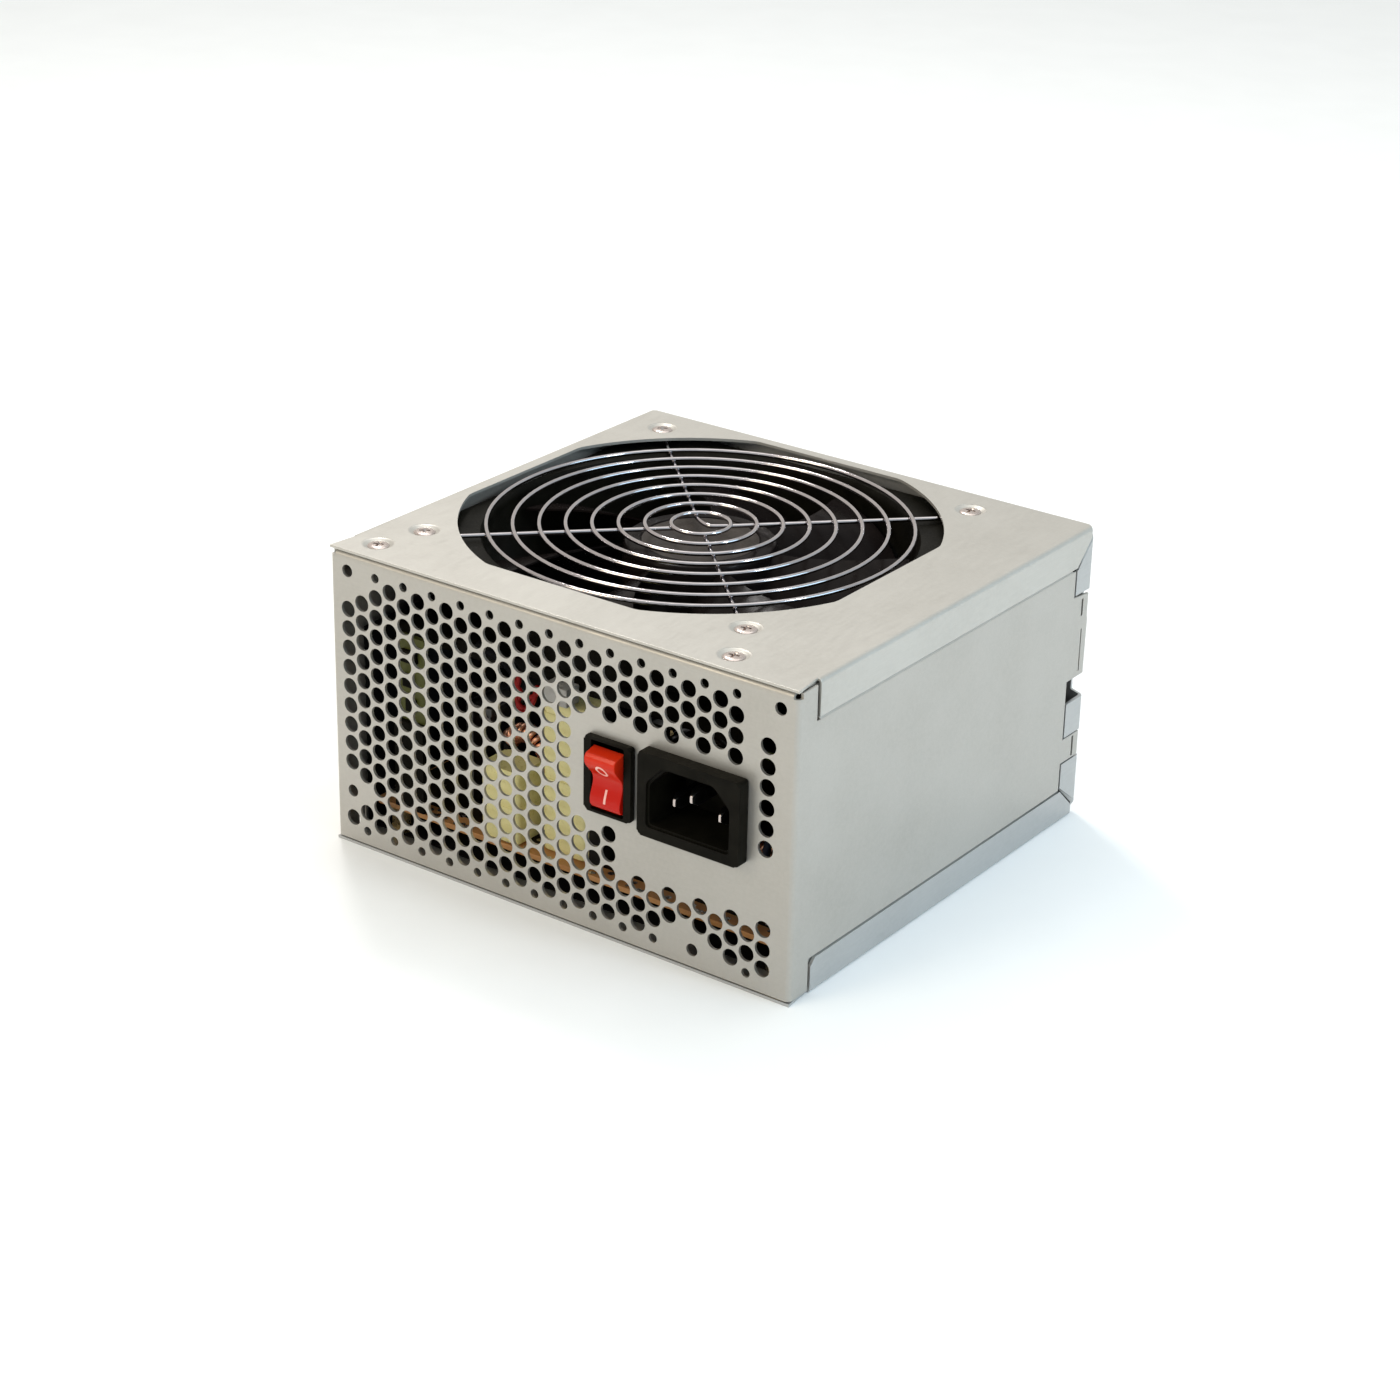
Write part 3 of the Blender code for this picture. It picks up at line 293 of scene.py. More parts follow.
def smooth_route(points, per_span=8):
    """Points on a smooth curve through the route's own points."""
    ends = [Vector(point) for point in points]
    padded = [2 * ends[0] - ends[1]] + ends + [2 * ends[-1] - ends[-2]]
    route = []
    for before, start, stop, after in zip(padded, padded[1:], padded[2:], padded[3:]):
        for step in range(per_span):
            t = step / per_span
            bend = 2 * before - 5 * start + 4 * stop - after
            twist = 3 * start - before - 3 * stop + after
            route.append(0.5 * (2 * start + (stop - before) * t + bend * t**2 + twist * t**3))
    return route + [ends[-1]]


def round_outline(outline, radius, steps=5):
    """The outline with every corner turned into a curve that starts radius before it."""
    rounded = []
    for before, corner, after in zip(outline[-1:] + outline[:-1], outline, outline[1:] + outline[:1]):
        corner = Vector(corner)
        start = corner + (Vector(before) - corner).normalized() * radius
        stop = corner + (Vector(after) - corner).normalized() * radius
        for step in range(steps + 1):
            t = step / steps
            rounded.append((1 - t) ** 2 * start + 2 * t * (1 - t) * corner + t * t * stop)
    return rounded


def add_plate(bm, outline, low, high, matrix=Matrix.Identity(4), edge=0.0, segments=3):
    """A flat outline of (x, y) points with a thickness along Z, its upper rim rounded by edge."""
    part = bmesh.new()
    bottom = [part.verts.new((x, y, low)) for x, y in outline]
    top = [part.verts.new((x, y, high)) for x, y in outline]
    part.faces.new(bottom[::-1])
    upper = part.faces.new(top)
    count = len(outline)
    for i in range(count):
        j = (i + 1) % count
        part.faces.new((bottom[i], bottom[j], top[j], top[i]))
    if edge:
        bmesh.ops.bevel(part, geom=list(upper.edges), offset=edge, offset_type="OFFSET",
                        segments=segments, profile=0.5, affect="EDGES")
    append(bm, part, matrix)


def rectangle(width, height):
    """The corners of a rectangle about the origin."""
    x, y = width / 2, height / 2
    return [(-x, -y), (x, -y), (x, y), (-x, y)]


# ---------------------------------------------------------------- materials


def new_finish(name, colour, roughness, metallic=0.0):
    """A plain material to build on, with its node tree and its shader."""
    material = bpy.data.materials.new(name + "_finish")
    material.use_nodes = True
    tree = material.node_tree
    shader = tree.nodes["Principled BSDF"]
    shader.inputs["Base Color"].default_value = (*colour, 1)
    shader.inputs["Roughness"].default_value = roughness
    shader.inputs["Metallic"].default_value = metallic
    return material, tree, shader


def noise(tree, scale, detail=4.0, stretch=(1, 1, 1)):
    """Noise in object space, in cycles per metre; a stretch above 1 makes it finer along that axis."""
    place = tree.nodes.new("ShaderNodeTexCoord")
    mapping = tree.nodes.new("ShaderNodeMapping")
    mapping.inputs["Scale"].default_value = stretch
    texture = tree.nodes.new("ShaderNodeTexNoise")
    texture.inputs["Scale"].default_value = scale
    texture.inputs["Detail"].default_value = detail
    tree.links.new(place.outputs["Object"], mapping.inputs["Vector"])
    tree.links.new(mapping.outputs["Vector"], texture.inputs["Vector"])
    return texture.outputs["Fac"]


def remap(tree, value, low, high, start=0.3, stop=0.7):
    """The value's range from start to stop spread from low to high."""
    node = tree.nodes.new("ShaderNodeMapRange")
    node.inputs["From Min"].default_value = start
    node.inputs["From Max"].default_value = stop
    node.inputs["To Min"].default_value = low
    node.inputs["To Max"].default_value = high
    tree.links.new(value, node.inputs["Value"])
    return node.outputs["Result"]


def blend_colours(tree, share, first, second):
    """first where share is 0 and second where it is 1; either may be a colour or a socket."""
    node = tree.nodes.new("ShaderNodeMix")
    node.data_type = "RGBA"
    tree.links.new(share, node.inputs["Factor"])
    for socket, colour in ((node.inputs["A"], first), (node.inputs["B"], second)):
        if isinstance(colour, tuple):
            socket.default_value = (*colour, 1)
        else:
            tree.links.new(colour, socket)
    return node.outputs["Result"]


def add_bump(tree, shader, height, strength, distance):
    """Fine relief in the shading, distance deep."""
    node = tree.nodes.new("ShaderNodeBump")
    node.inputs["Strength"].default_value = strength
    node.inputs["Distance"].default_value = distance
    tree.links.new(height, node.inputs["Height"])
    tree.links.new(node.outputs["Normal"], shader.inputs["Normal"])


def mottled(name, first, second, roughness, metallic=0.0, mottle=120, grain=1500, bump=0.15,
            depth=0.05, stretch=(1, 1, 1), sheen=0.5):
    """A surface whose colour drifts between two tones, with a fine grain in its gloss and relief."""
    material, tree, shader = new_finish(name, first, sum(roughness) / 2, metallic)
    shader.inputs["Specular IOR Level"].default_value = sheen
    drift = remap(tree, noise(tree, mottle, 5.0), 0, 1)
    tree.links.new(blend_colours(tree, drift, first, second), shader.inputs["Base Color"])
    fine = noise(tree, grain, 3.0, stretch)
    tree.links.new(remap(tree, fine, *roughness), shader.inputs["Roughness"])
    add_bump(tree, shader, fine, bump, depth * MM)
    return material


def zinc(name, first, second, grain_along):
    """Satin zinc plate: cloudy spangle, a fine speckle, faint rolling lines and a soft gloss."""
    material, tree, shader = new_finish(name, first, 0.42, 0.62)
    cloud = remap(tree, noise(tree, 45, 6.0), 0, 1)
    speckle = remap(tree, noise(tree, 900, 2.0), 0, 1, 0.35, 0.65)
    cloudy = blend_colours(tree, cloud, first, second)
    brighter = tuple(min(1.0, channel * 1.05) for channel in second)
    half_speckle = remap(tree, speckle, 0.0, 0.35, 0, 1)
    tree.links.new(blend_colours(tree, half_speckle, cloudy, brighter), shader.inputs["Base Color"])
    lines = noise(tree, 2600, 2.0, grain_along)
    tree.links.new(remap(tree, lines, 0.36, 0.50), shader.inputs["Roughness"])
    add_bump(tree, shader, lines, 0.10, 0.02 * MM)
    return material


def banded(name, ground, band, roughness, pitch, axis="Z", bump=0.3, metallic=0.0, share=0.35):
    """Evenly spaced bands across one axis, slightly wavy, as in layers of tape or rows of wire."""
    material, tree, shader = new_finish(name, ground, roughness, metallic)
    place = tree.nodes.new("ShaderNodeTexCoord")
    wave = tree.nodes.new("ShaderNodeTexWave")
    wave.bands_direction = axis
    wave.inputs["Scale"].default_value = 0.314 / (pitch * MM)
    wave.inputs["Distortion"].default_value = 0.6
    wave.inputs["Detail"].default_value = 2.0
    tree.links.new(place.outputs["Object"], wave.inputs["Vector"])
    band_share = remap(tree, wave.outputs["Fac"], 0, share, 0.2, 0.9)
    tree.links.new(blend_colours(tree, band_share, ground, band), shader.inputs["Base Color"])
    fine = noise(tree, 900, 3.0)
    tree.links.new(remap(tree, fine, roughness * 0.8, roughness * 1.25), shader.inputs["Roughness"])
    add_bump(tree, shader, wave.outputs["Fac"], bump, 0.08 * MM)
    return material


def red_painted_lit_on_top():
    """Glossy red plastic, painted more orange towards the top: painted light where more light falls on the
    rocker.
    """
    material, tree, shader = new_finish("red_plastic", (0.66, 0.03, 0.006), 0.18)
    shader.inputs["Specular IOR Level"].default_value = 0.2
    place = tree.nodes.new("ShaderNodeTexCoord")
    split = tree.nodes.new("ShaderNodeSeparateXYZ")
    tree.links.new(place.outputs["Object"], split.inputs["Vector"])
    upper = remap(tree, split.outputs["Z"], 0, 1, (SWITCH_Z - 2) * MM, (SWITCH_Z + 7) * MM)
    # Painted light: the base colour grows lighter and more orange with height.
    painted_light_by_height = blend_colours(tree, upper, (0.48, 0.008, 0.002), (0.62, 0.028, 0.006))
    cloud = remap(tree, noise(tree, 250, 3.0), 0, 0.3)
    tree.links.new(blend_colours(tree, cloud, painted_light_by_height, (0.45, 0.008, 0.002)), shader.inputs["Base Color"])
    fine = noise(tree, 1800, 3.0)
    tree.links.new(remap(tree, fine, 0.12, 0.20), shader.inputs["Roughness"])
    add_bump(tree, shader, fine, 0.06, 0.02 * MM)
    return material


def all_finishes():
    """Every finish, by its name; those of the record's slots carry the slot's name."""
    across_x, across_y, upright = (1, 0.06, 1), (0.06, 1, 1), (1, 1, 0.06)
    made = [
        zinc("zinc_panel", (0.41, 0.39, 0.354), (0.45, 0.43, 0.394), across_y),
        # zinc_top is the panel's plate painted lighter: painted light for the top face, which catches the
        # light from above.
        zinc("zinc_top", (0.465, 0.447, 0.408), (0.505, 0.487, 0.448), across_x),
        zinc("zinc_base", (0.42, 0.42, 0.41), (0.46, 0.46, 0.45), across_x),
        mottled("chrome_wire", (0.45, 0.42, 0.43), (0.52, 0.49, 0.50), (0.06, 0.10), 1.0, 300, 3000, 0.05,
                0.02),
        mottled("bright_steel", (0.52, 0.45, 0.42), (0.62, 0.55, 0.52), (0.20, 0.36), 1.0, 500, 3000,
                0.08, 0.02),
        # The next steel is painted near black: painted shade on the inlet pins' shafts deep in the socket.
        mottled("shaded_steel", (0.07, 0.07, 0.07), (0.10, 0.10, 0.10), (0.28, 0.40), 1.0, 500, 3000, 0.08,
                0.02),
        mottled("brass", (0.66, 0.50, 0.24), (0.74, 0.58, 0.30), (0.22, 0.38), 1.0),
        mottled("aluminium", (0.10, 0.10, 0.10), (0.15, 0.15, 0.15), (0.35, 0.5), 1.0, 100, 2000, 0.12,
                0.04, upright),
        mottled("black_plastic", (0.0045, 0.0040, 0.0027), (0.0095, 0.0085, 0.0060), (0.36, 0.52), 0.0,
                200, 2200, 0.22, 0.04,
                sheen=0.04),
        mottled("blade_plastic", (0.008, 0.006, 0.006), (0.014, 0.011, 0.010), (0.16, 0.28), 0.0, 80, 900,
                0.06, 0.04,
                sheen=0.04),
        mottled("black_rubber", (0.007, 0.007, 0.007), (0.013, 0.013, 0.013), (0.6, 0.8), 0.0, 200, 1800,
                0.3, sheen=0.03),
        red_painted_lit_on_top(),
        mottled("white_plastic", (0.44, 0.43, 0.41), (0.52, 0.51, 0.49), (0.4, 0.55)),
        mottled("mark_paint", (0.80, 0.42, 0.36), (0.88, 0.52, 0.45), (0.3, 0.45), 0.0, 400, 2500, 0.1, 0.01),
        mottled("board_brown", (0.52, 0.24, 0.08), (0.62, 0.31, 0.12), (0.35, 0.5), 0.0, 90, 1200, 0.2,
                0.05, across_x),
        mottled("board_mask", (0.012, 0.009, 0.005), (0.026, 0.018, 0.010), (0.35, 0.55), 0.0, 260, 1600,
                0.2, sheen=0.05),
        mottled("board_green", (0.075, 0.08, 0.018), (0.11, 0.115, 0.028), (0.3, 0.45), 0.0, 300, 1600,
                0.2, sheen=0.25),
        mottled("ferrite", (0.010, 0.009, 0.008), (0.018, 0.017, 0.015), (0.5, 0.7), 0.0, 300, 1800, 0.3,
                sheen=0.04),
        banded("copper_wire", (0.95, 0.50, 0.33), (0.60, 0.25, 0.13), 0.30, 1.0, "Z", 0.1, 0.9, 0.5),
        banded("yellow_tape", (0.90, 0.82, 0.40), (0.76, 0.66, 0.24), 0.30, 3.5, "Z", 0.25),
        mottled("yellow_case", (0.62, 0.46, 0.08), (0.70, 0.53, 0.12), (0.35, 0.5)),
        mottled("dark_sleeve", (0.005, 0.005, 0.006), (0.010, 0.010, 0.012), (0.25, 0.4), sheen=0.04),
        mottled("green_sleeve", (0.008, 0.022, 0.014), (0.014, 0.032, 0.022), (0.25, 0.4), sheen=0.06),
        mottled("fuse_glass", (0.55, 0.56, 0.55), (0.66, 0.67, 0.66), (0.06, 0.15)),
        mottled("brown_insulation", (0.012, 0.007, 0.005), (0.02, 0.012, 0.008), (0.35, 0.5), sheen=0.2),
        mottled("blue_insulation", (0.008, 0.012, 0.04), (0.012, 0.018, 0.055), (0.35, 0.5), sheen=0.2),
        mottled("green_insulation", (0.05, 0.20, 0.03), (0.50, 0.46, 0.05), (0.35, 0.5), 0.0, 90),
        mottled("red_insulation", (0.24, 0.008, 0.008), (0.32, 0.012, 0.012), (0.28, 0.42), sheen=0.2),
        mottled("hub_label", (0.035, 0.028, 0.024), (0.055, 0.045, 0.038), (0.35, 0.5), 0.0, 150, 1600,
                0.1, sheen=0.12),
        mottled("floor_paper", (0.92, 0.92, 0.915), (0.94, 0.94, 0.935), (0.85, 0.95), 0.0, 30, 600, 0.05),
    ]
    return {material.name.removesuffix("_finish"): material for material in made}


# ---------------------------------------------------------------- folded case

CHASSIS_HOLES = ((-69, 80), (69.8, 80), (-69, 16), (45, 6))


def folded_sheet(name, panels, bend):
    """One bent sheet from the outer faces of its +X half; panels that share an edge fold there."""
    bm = bmesh.new()
    for corners in panels:
        bm.faces.new([bm.verts.new(Vector(corner)) for corner in corners])
    bmesh.ops.remove_doubles(bm, verts=bm.verts, dist=0.01)
    bmesh.ops.scale(bm, vec=(MM, MM, MM), verts=bm.verts)
    mesh = bpy.data.meshes.new(name)
    bm.to_mesh(mesh)
    bm.free()
    sheet = bpy.data.objects.new(name, mesh)
    bpy.context.scene.collection.objects.link(sheet)
    other_half = sheet.modifiers.new("other_half", "MIRROR")
    other_half.merge_threshold = 0.01 * MM
    bends = sheet.modifiers.new("bends", "BEVEL")
    bends.width = bend * MM
    bends.segments = 5
    bends.limit_method = "ANGLE"
    bends.angle_limit = math.radians(60)
    bends.use_clamp_overlap = False
    thickness = sheet.modifiers.new("thickness", "SOLIDIFY")
    thickness.thickness = SHEET * MM
    thickness.offset = -1
    thickness.solidify_mode = "NON_MANIFOLD"
    thickness.nonmanifold_thickness_mode = "CONSTRAINTS"
    thickness.nonmanifold_boundary_mode = "FLAT"
    cut_edges = sheet.modifiers.new("cut_edges", "BEVEL")
    cut_edges.width = 0.2 * MM
    cut_edges.segments = 2
    cut_edges.limit_method = "ANGLE"
    cut_edges.angle_limit = math.radians(60)
    settle(sheet)
    return sheet


def on_side(points, x):
    """(y, z) points on a plane that faces +X."""
    return [(x, y, z) for y, z in points]


def hole_is_present(column, x, z):
    """The lattice leaves out the inlet, the switch, a strip beside the right edge and the chassis holes."""
    beside_inlet = 6 < x < 64 and 31.5 < z < 62
    under_inlet = 20 < x < 64 and 20 < z < 62
    last_columns = (column == 27 and z > 20) or (column == 28 and 20 < z < 38)
    over_bottom_screw = z < 9 and abs(x - 45) < 9
    near_screw = any(math.hypot(x - screw_x, z - screw_z) < 7 for screw_x, screw_z in CHASSIS_HOLES)
    return not (beside_inlet or under_inlet or last_columns or over_bottom_screw or near_screw)


def vent_holes():
    """(x, z, radius) of every round hole: a hexagonal lattice and small holes over and under its columns."""
    first_column, column_step = -69, 4.84
    first_row, row_step, rows = 8.0, 5.56, 13
    large, small, chassis = 2.3, 1.3, 1.75
    holes = [(x, z, chassis) for x, z in CHASSIS_HOLES]
    for column in range(29):
        x = first_column + column * column_step
        odd = column % 2
        for row in range(rows):
            z = first_row + (row + odd / 2) * row_step
            if hole_is_present(column, x, z):
                holes.append((x, z, large))
        if odd and (column <= 21 or column == 27):
            holes.append((x, first_row - row_step / 2, small))
        if not odd and 2 <= column <= 26:
            holes.append((x, first_row + rows * row_step, small))
    return holes


def panel_openings():
    """A cutter with the vent holes and the cut-outs of the inlet and the switch."""
    bm = bmesh.new()
    for x, z, radius in vent_holes():
        outline = [(px, py) for px, py, _ in circle(x, z, 0, radius, 24)]
        add_plate(bm, outline, -3, 3, Matrix.Translation((0, FRONT, 0)) @ FACING_FRONT)
    for x, z, width, height in ((INLET_X, INLET_Z, 27.9, 20.1), (SWITCH_X, SWITCH_Z, 13.6, 19.8)):
        add_box(bm, (x - width / 2, FRONT - 3, z - height / 2), (x + width / 2, FRONT + 3, z + height / 2))
    return bm


def shell_slots(wide, high):
    """A cutter for the gaps under the cover screws, the slots near the back edges and the corner notches."""
    bm = bmesh.new()
    for x, y in COVER_SCREWS.values():
        add_box(bm, (x - 4.6, y - 4.6, high - 3), (x + 4.6, y + 4.6, high + 1), 1.5)
    for side in (-1, 1):
        x = side * wide
        for slot_low, slot_high in ((61, 66), (19, 25)):
            add_box(bm, (x - 2, 65.4, slot_low), (x + 2, 66.3, slot_high))
        add_box(bm, (x - 2, 66.0, 44.5), (x + 2, 66.5, 57))
        add_box(bm, (x - 1.6, FRONT - 1, high - 1.5), (x + 1.6, FRONT + 1.8, high + 1))
    return bm


def body_shell():
    """The vent panel with both side walls bent back from it, stepped inwards behind the covers' lips."""
    low, high, wide, back = SHELL_LOW.z, SHELL_HIGH.z, HALF_WIDTH, HALF_DEPTH
    flange_end, flange_rear, strip_rear = 73.3, -57, -62
    step_front, step_rear = -60.5, 60
    wall_low, wall_high, upper_edge, lower_edge = 10.3, 75.45, 76.15, 9.5
    inner = wide - 1.1
    vent_panel = [
        (0, FRONT, low), (wide, FRONT, low), (wide, FRONT, high), (flange_end, FRONT, high), (0, FRONT, high),
    ]
    top_flange = [
        (0, FRONT, high), (flange_end, FRONT, high), (flange_end, flange_rear, high), (0, flange_rear, high),
    ]
    outline = [
        (FRONT, low), (strip_rear, low), (strip_rear, wall_low), (step_front, wall_low),
        (step_rear, wall_low),
        (step_rear, 18.4), (69.0, 18.4), (69.0, 25.6), (60.4, 25.6), (60.4, 43), (back, 43),
        (back, 58), (69.0, 60), (69.0, 66.8), (61.2, 67.6), (61.2, wall_high), (step_rear, wall_high),
        (step_front, wall_high), (strip_rear, wall_high), (strip_rear, high), (FRONT, high),
    ]
    tongue = [(66, back, 43), (66, back, 58), (wide, back, 58), (wide, back, 43)]

    def step(outer_z, inner_z):
        """The slope from the wall's plane at outer_z to the recessed plane at inner_z."""
        edge = on_side([(step_front, outer_z), (step_rear, outer_z)], wide)
        recess = on_side([(step_rear, inner_z), (step_front, inner_z)], inner)
        return edge + recess if inner_z > outer_z else (edge + recess)[::-1]

    upper = on_side([(step_front, upper_edge), (step_rear, upper_edge), (step_rear, 84.4),
                     (step_front, 84.4)], inner)
    lower = on_side([(step_front, 1.2), (step_rear, 1.2), (step_rear, lower_edge),
                     (step_front, lower_edge)], inner)
    panels = [vent_panel, top_flange, on_side(outline, wide), tongue]
    panels += [step(wall_high, upper_edge), step(wall_low, lower_edge), upper, lower]
    shell = folded_sheet("shell_sheet", panels, 1.5)
    combine(shell, panel_openings())
    combine(shell, shell_slots(wide, high))
    show(shell, "zinc_panel", nodes=["body_shell"])


def dimple(sheet, dishes, x, y):
    """A hole in the cover, and in dishes the round dish pressed down from its rim."""
    rim, bore = 4.42, 2.2
    combine(sheet, shape(add_lathe, [(0, 1), (rim, 1), (rim, -3), (0, -3)], (x, y, HEIGHT)))
    profile = [
        (rim + 0.4, -0.03), (rim, -0.03), (4.1, -0.06), (3.7, -0.28), (3.3, -0.46), (2.9, -0.60),
        (bore, -1.15),
        (bore, -1.9), (bore + 0.6, -1.9), (3.5, -1.35), (3.9, -1.21), (4.3, -1.03), (rim + 0.4, -0.7),
    ]
    add_lathe(dishes, profile, (x, y, HEIGHT), closed=True)


def top_cover():
    """The lid over the fan, with a lip down each side."""
    lip_front, lip_rear, lip_low = -60.7, 68.8, 76
    wide, back = HALF_WIDTH, HALF_DEPTH
    panels = [
        [
            (0, FRONT, HEIGHT), (wide, FRONT, HEIGHT), (wide, lip_front, HEIGHT),
            (wide, lip_rear, HEIGHT), (wide - 2, back, HEIGHT), (0, back, HEIGHT),
        ],
        on_side(
            [(lip_front, lip_low), (62, lip_low), (lip_rear, 82.8), (lip_rear, HEIGHT),
             (lip_front, HEIGHT)], wide
        ),
    ]
    cover = folded_sheet("cover_sheet", panels, 1.2)
    opening = []
    radius, flat = 65.3, 60.6
    for x, y, _ in circle(0, 0, 0, radius, 240):
        opening.append((FAN_X + max(-flat, min(flat, x)), FAN_Y + max(-flat, min(flat, y))))
    bm = bmesh.new()
    add_plate(bm, opening, HEIGHT - 5, HEIGHT + 5)
    bmesh.ops.dissolve_limit(bm, angle_limit=math.radians(0.1), verts=bm.verts, edges=bm.edges)
    combine(cover, bm)
    dishes = bmesh.new()
    for x, y in list(FAN_SCREWS.values()) + list(COVER_SCREWS.values()):
        dimple(cover, dishes, x, y)
    made = object_of(dishes, "dishes")
    bm = bmesh.new()
    for mesh in (cover.data, made.data):
        bm.from_mesh(mesh)
    bm.to_mesh(cover.data)
    bm.free()
    bpy.data.objects.remove(made)
    show(cover, "zinc_top", nodes=["top_cover"])


def outlet_bush():
    """The moulded bush of the leads' outlet, with a rounded flange on each side of the back panel."""
    low, high = cad("cable_grommet")
    lip = (high.x - low.x) / 2
    bore, groove = lip - 4.5, lip - 2.5
    outside, inside, gap = high.y - HALF_DEPTH, low.y - HALF_DEPTH, 0.02
    profile = [
        (bore, outside - 0.6), (bore + 0.6, outside), (lip - 1.0, outside), (lip - 0.3, outside - 0.3),
        (lip, outside - 0.9), (lip, gap), (groove, gap), (groove, -SHEET - gap), (lip, -SHEET - gap),
        (lip, inside + 0.3), (lip - 0.3, inside), (bore + 0.4, inside), (bore, inside + 0.4),
    ]
    bm = bmesh.new()
    middle = (low + high) / 2
    backwards = Matrix.Rotation(math.radians(-90), 4, "X")
    add_lathe(bm, profile, (middle.x, HALF_DEPTH, middle.z), 72, backwards, closed=True)
    show(object_of(bm, "outlet_bush"), "black_rubber", nodes=["cable_grommet"])


def screw(name, x, y, top, length, radius=3.0, turn=0.0):
    """A low domed screw with a cross recess."""
    profile = [
        (0, 0), (radius * 0.35, -0.02), (radius * 0.7, -0.10), (radius * 0.9, -0.22), (radius, -0.42),
        (radius, -0.62), (1.75, -1.25), (1.75, -length), (0, -length),
    ]
    made = object_of(shape(add_lathe, profile, (x, y, top), 40), name)
    for angle in (turn, turn + 90):
        arm = [(-1.75, 0.4), (1.75, 0.4), (1.0, -0.95), (-1.0, -0.95)]
        matrix = Matrix.Translation((x, y, top)) @ Matrix.Rotation(math.radians(angle), 4, "Z") @ FACING_FRONT
        combine(made, shape(add_plate, arm, -0.36, 0.36, matrix))
    show(made, "bright_steel", angle=30)
    return made


def case_screws():
    """The two cover screws and the four longer fan screws, each turned its own way."""
    turns = random.Random(4)
    for node, (x, y) in list(COVER_SCREWS.items()) + list(FAN_SCREWS.items()):
        length = 6.9 if node in COVER_SCREWS else 9.9
        made = screw(node + "_detailed", x, y, HEIGHT - 0.06, length, 2.9, turns.uniform(0, 90))
        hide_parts(node)


# ---------------------------------------------------------------- fan and guard

RING_Z = 84.95
SPOKE_Z = RING_Z - 1.1
WIRE = 0.62


def wire_guard():
    """Eight ring wires on spokes: two plain ones in front, and one wire bent into a V behind."""
    bm = bmesh.new()
    for number in range(8):
        add_tube(bm, circle(FAN_X, FAN_Y, RING_Z, 8.0 + 7.1 * number, 96), WIRE, 12, closed=True)
    eyelet = 4.0
    diagonal = math.sqrt(0.5)

    def spoke_end(node):
        """Where the spoke meets the eyelet of this fan screw, and the way to it from the hub."""
        x, y = FAN_SCREWS[node]
        outwards = Vector((math.copysign(diagonal, x - FAN_X), math.copysign(diagonal, y - FAN_Y), 0))
        return Vector((x, y, SPOKE_Z)) - outwards * eyelet, outwards

    centre = Vector((FAN_X, FAN_Y, SPOKE_Z))
    for node in ("fan_screw_1", "fan_screw_2"):
        end, outwards = spoke_end(node)
        add_tube(bm, [centre + outwards * 7.4, (centre + end) / 2, end], WIRE, 12)
    left, left_way = spoke_end("fan_screw_4")
    right, right_way = spoke_end("fan_screw_3")
    apex = [(-7, 7), (-4.6, 4.7), (-1.3, 2.8), (1.1, 2.3), (2.4, 2.9), (5.8, 5.8)]
    bend = [centre + Vector((x, y, 0)) for x, y in apex]
    route = [left] + [centre + left_way * 30] + smooth_route(bend, 6) + [centre + right_way * 30] + [right]
    add_tube(bm, route, WIRE, 12)
    for x, y in FAN_SCREWS.values():
        add_tube(bm, circle(x, y, SPOKE_Z, eyelet, 40), WIRE, 12, closed=True)
    show(object_of(bm, "wire_guard"), "chrome_wire", nodes=["fan_guard"], angle=60)


def fan_holes(low, high):
    """A cutter with each corner's screw hole and the two moulding pockets beside it."""
    bm = bmesh.new()
    for x, y in FAN_SCREWS.values():
        add_lathe(bm, [(0, low - 2), (2.2, low - 2), (2.2, high + 2), (0, high + 2)], (x, y, 0), 24)
        corner = Vector((x - FAN_X, y - FAN_Y, 0)).normalized() * 5.4
        for turn in (-42, 42):
            pocket = Matrix.Rotation(math.radians(turn), 4, "Z") @ corner
            pocket_x, pocket_y = x - pocket.x * 0.9, y - pocket.y * 0.9
            add_lathe(bm, [(0, high - 1.6), (1.5, high - 1.6), (1.5, high + 2), (0, high + 2)],
                      (pocket_x + corner.x * 0.2, pocket_y + corner.y * 0.2, 0), 16)
    return bm


def fan_housing():
    """Two square flanges on a barrel, a flared bore, and a motor base on four straight struts."""
    bore, half, flange = 58.0, 60.0, 4.0
    low, high = FAN_LOW.z, FAN_HIGH.z
    matrix = Matrix.Translation((FAN_X, FAN_Y, 0))
    bm = bmesh.new()
    add_lathe(bm, [(0, low + 1), (half - 0.4, low + 1), (half - 0.4, high - 1), (0, high - 1)],
              (FAN_X, FAN_Y, 0), 96)
    frame_block = object_of(bm, "fan_housing")
    for plate_low in (low, high - flange):
        bm = bmesh.new()
        add_plate(bm, round_outline(rectangle(2 * half, 2 * half), 4.5), plate_low, plate_low + flange,
                  matrix)
        combine(frame_block, bm, "UNION")
    bm = bmesh.new()
    profile = [(0, low - 2), (bore + 0.8, low - 2), (bore, low + 1.2), (bore, high - 2.5),
               (bore + 0.8, high - 0.7),
               (bore + 2.0, high + 1), (0, high + 1)]
    add_lathe(bm, profile, (FAN_X, FAN_Y, 0), 128)
    combine(frame_block, bm)
    combine(frame_block, fan_holes(low, high))
    base_top = low + 3
    for number in range(4):
        bm = bmesh.new()
        turn = Matrix.Rotation(math.radians(20 + 90 * number), 4, "Z")
        add_box(bm, (12, -1.5, low), (bore + 1, 1.5, base_top), 0.5)
        bmesh.ops.transform(bm, matrix=matrix @ turn, verts=bm.verts)
        combine(frame_block, bm, "UNION")
    base = [(3.3, 74), (4.5, 74), (4.5, base_top), (20, base_top), (21, base_top - 1), (21, low), (3.3, low)]
    combine(frame_block, shape(add_lathe, base, (FAN_X, FAN_Y, 0), 72, closed=True), "UNION")
    show(frame_block, "black_plastic", nodes=["fan_frame"])


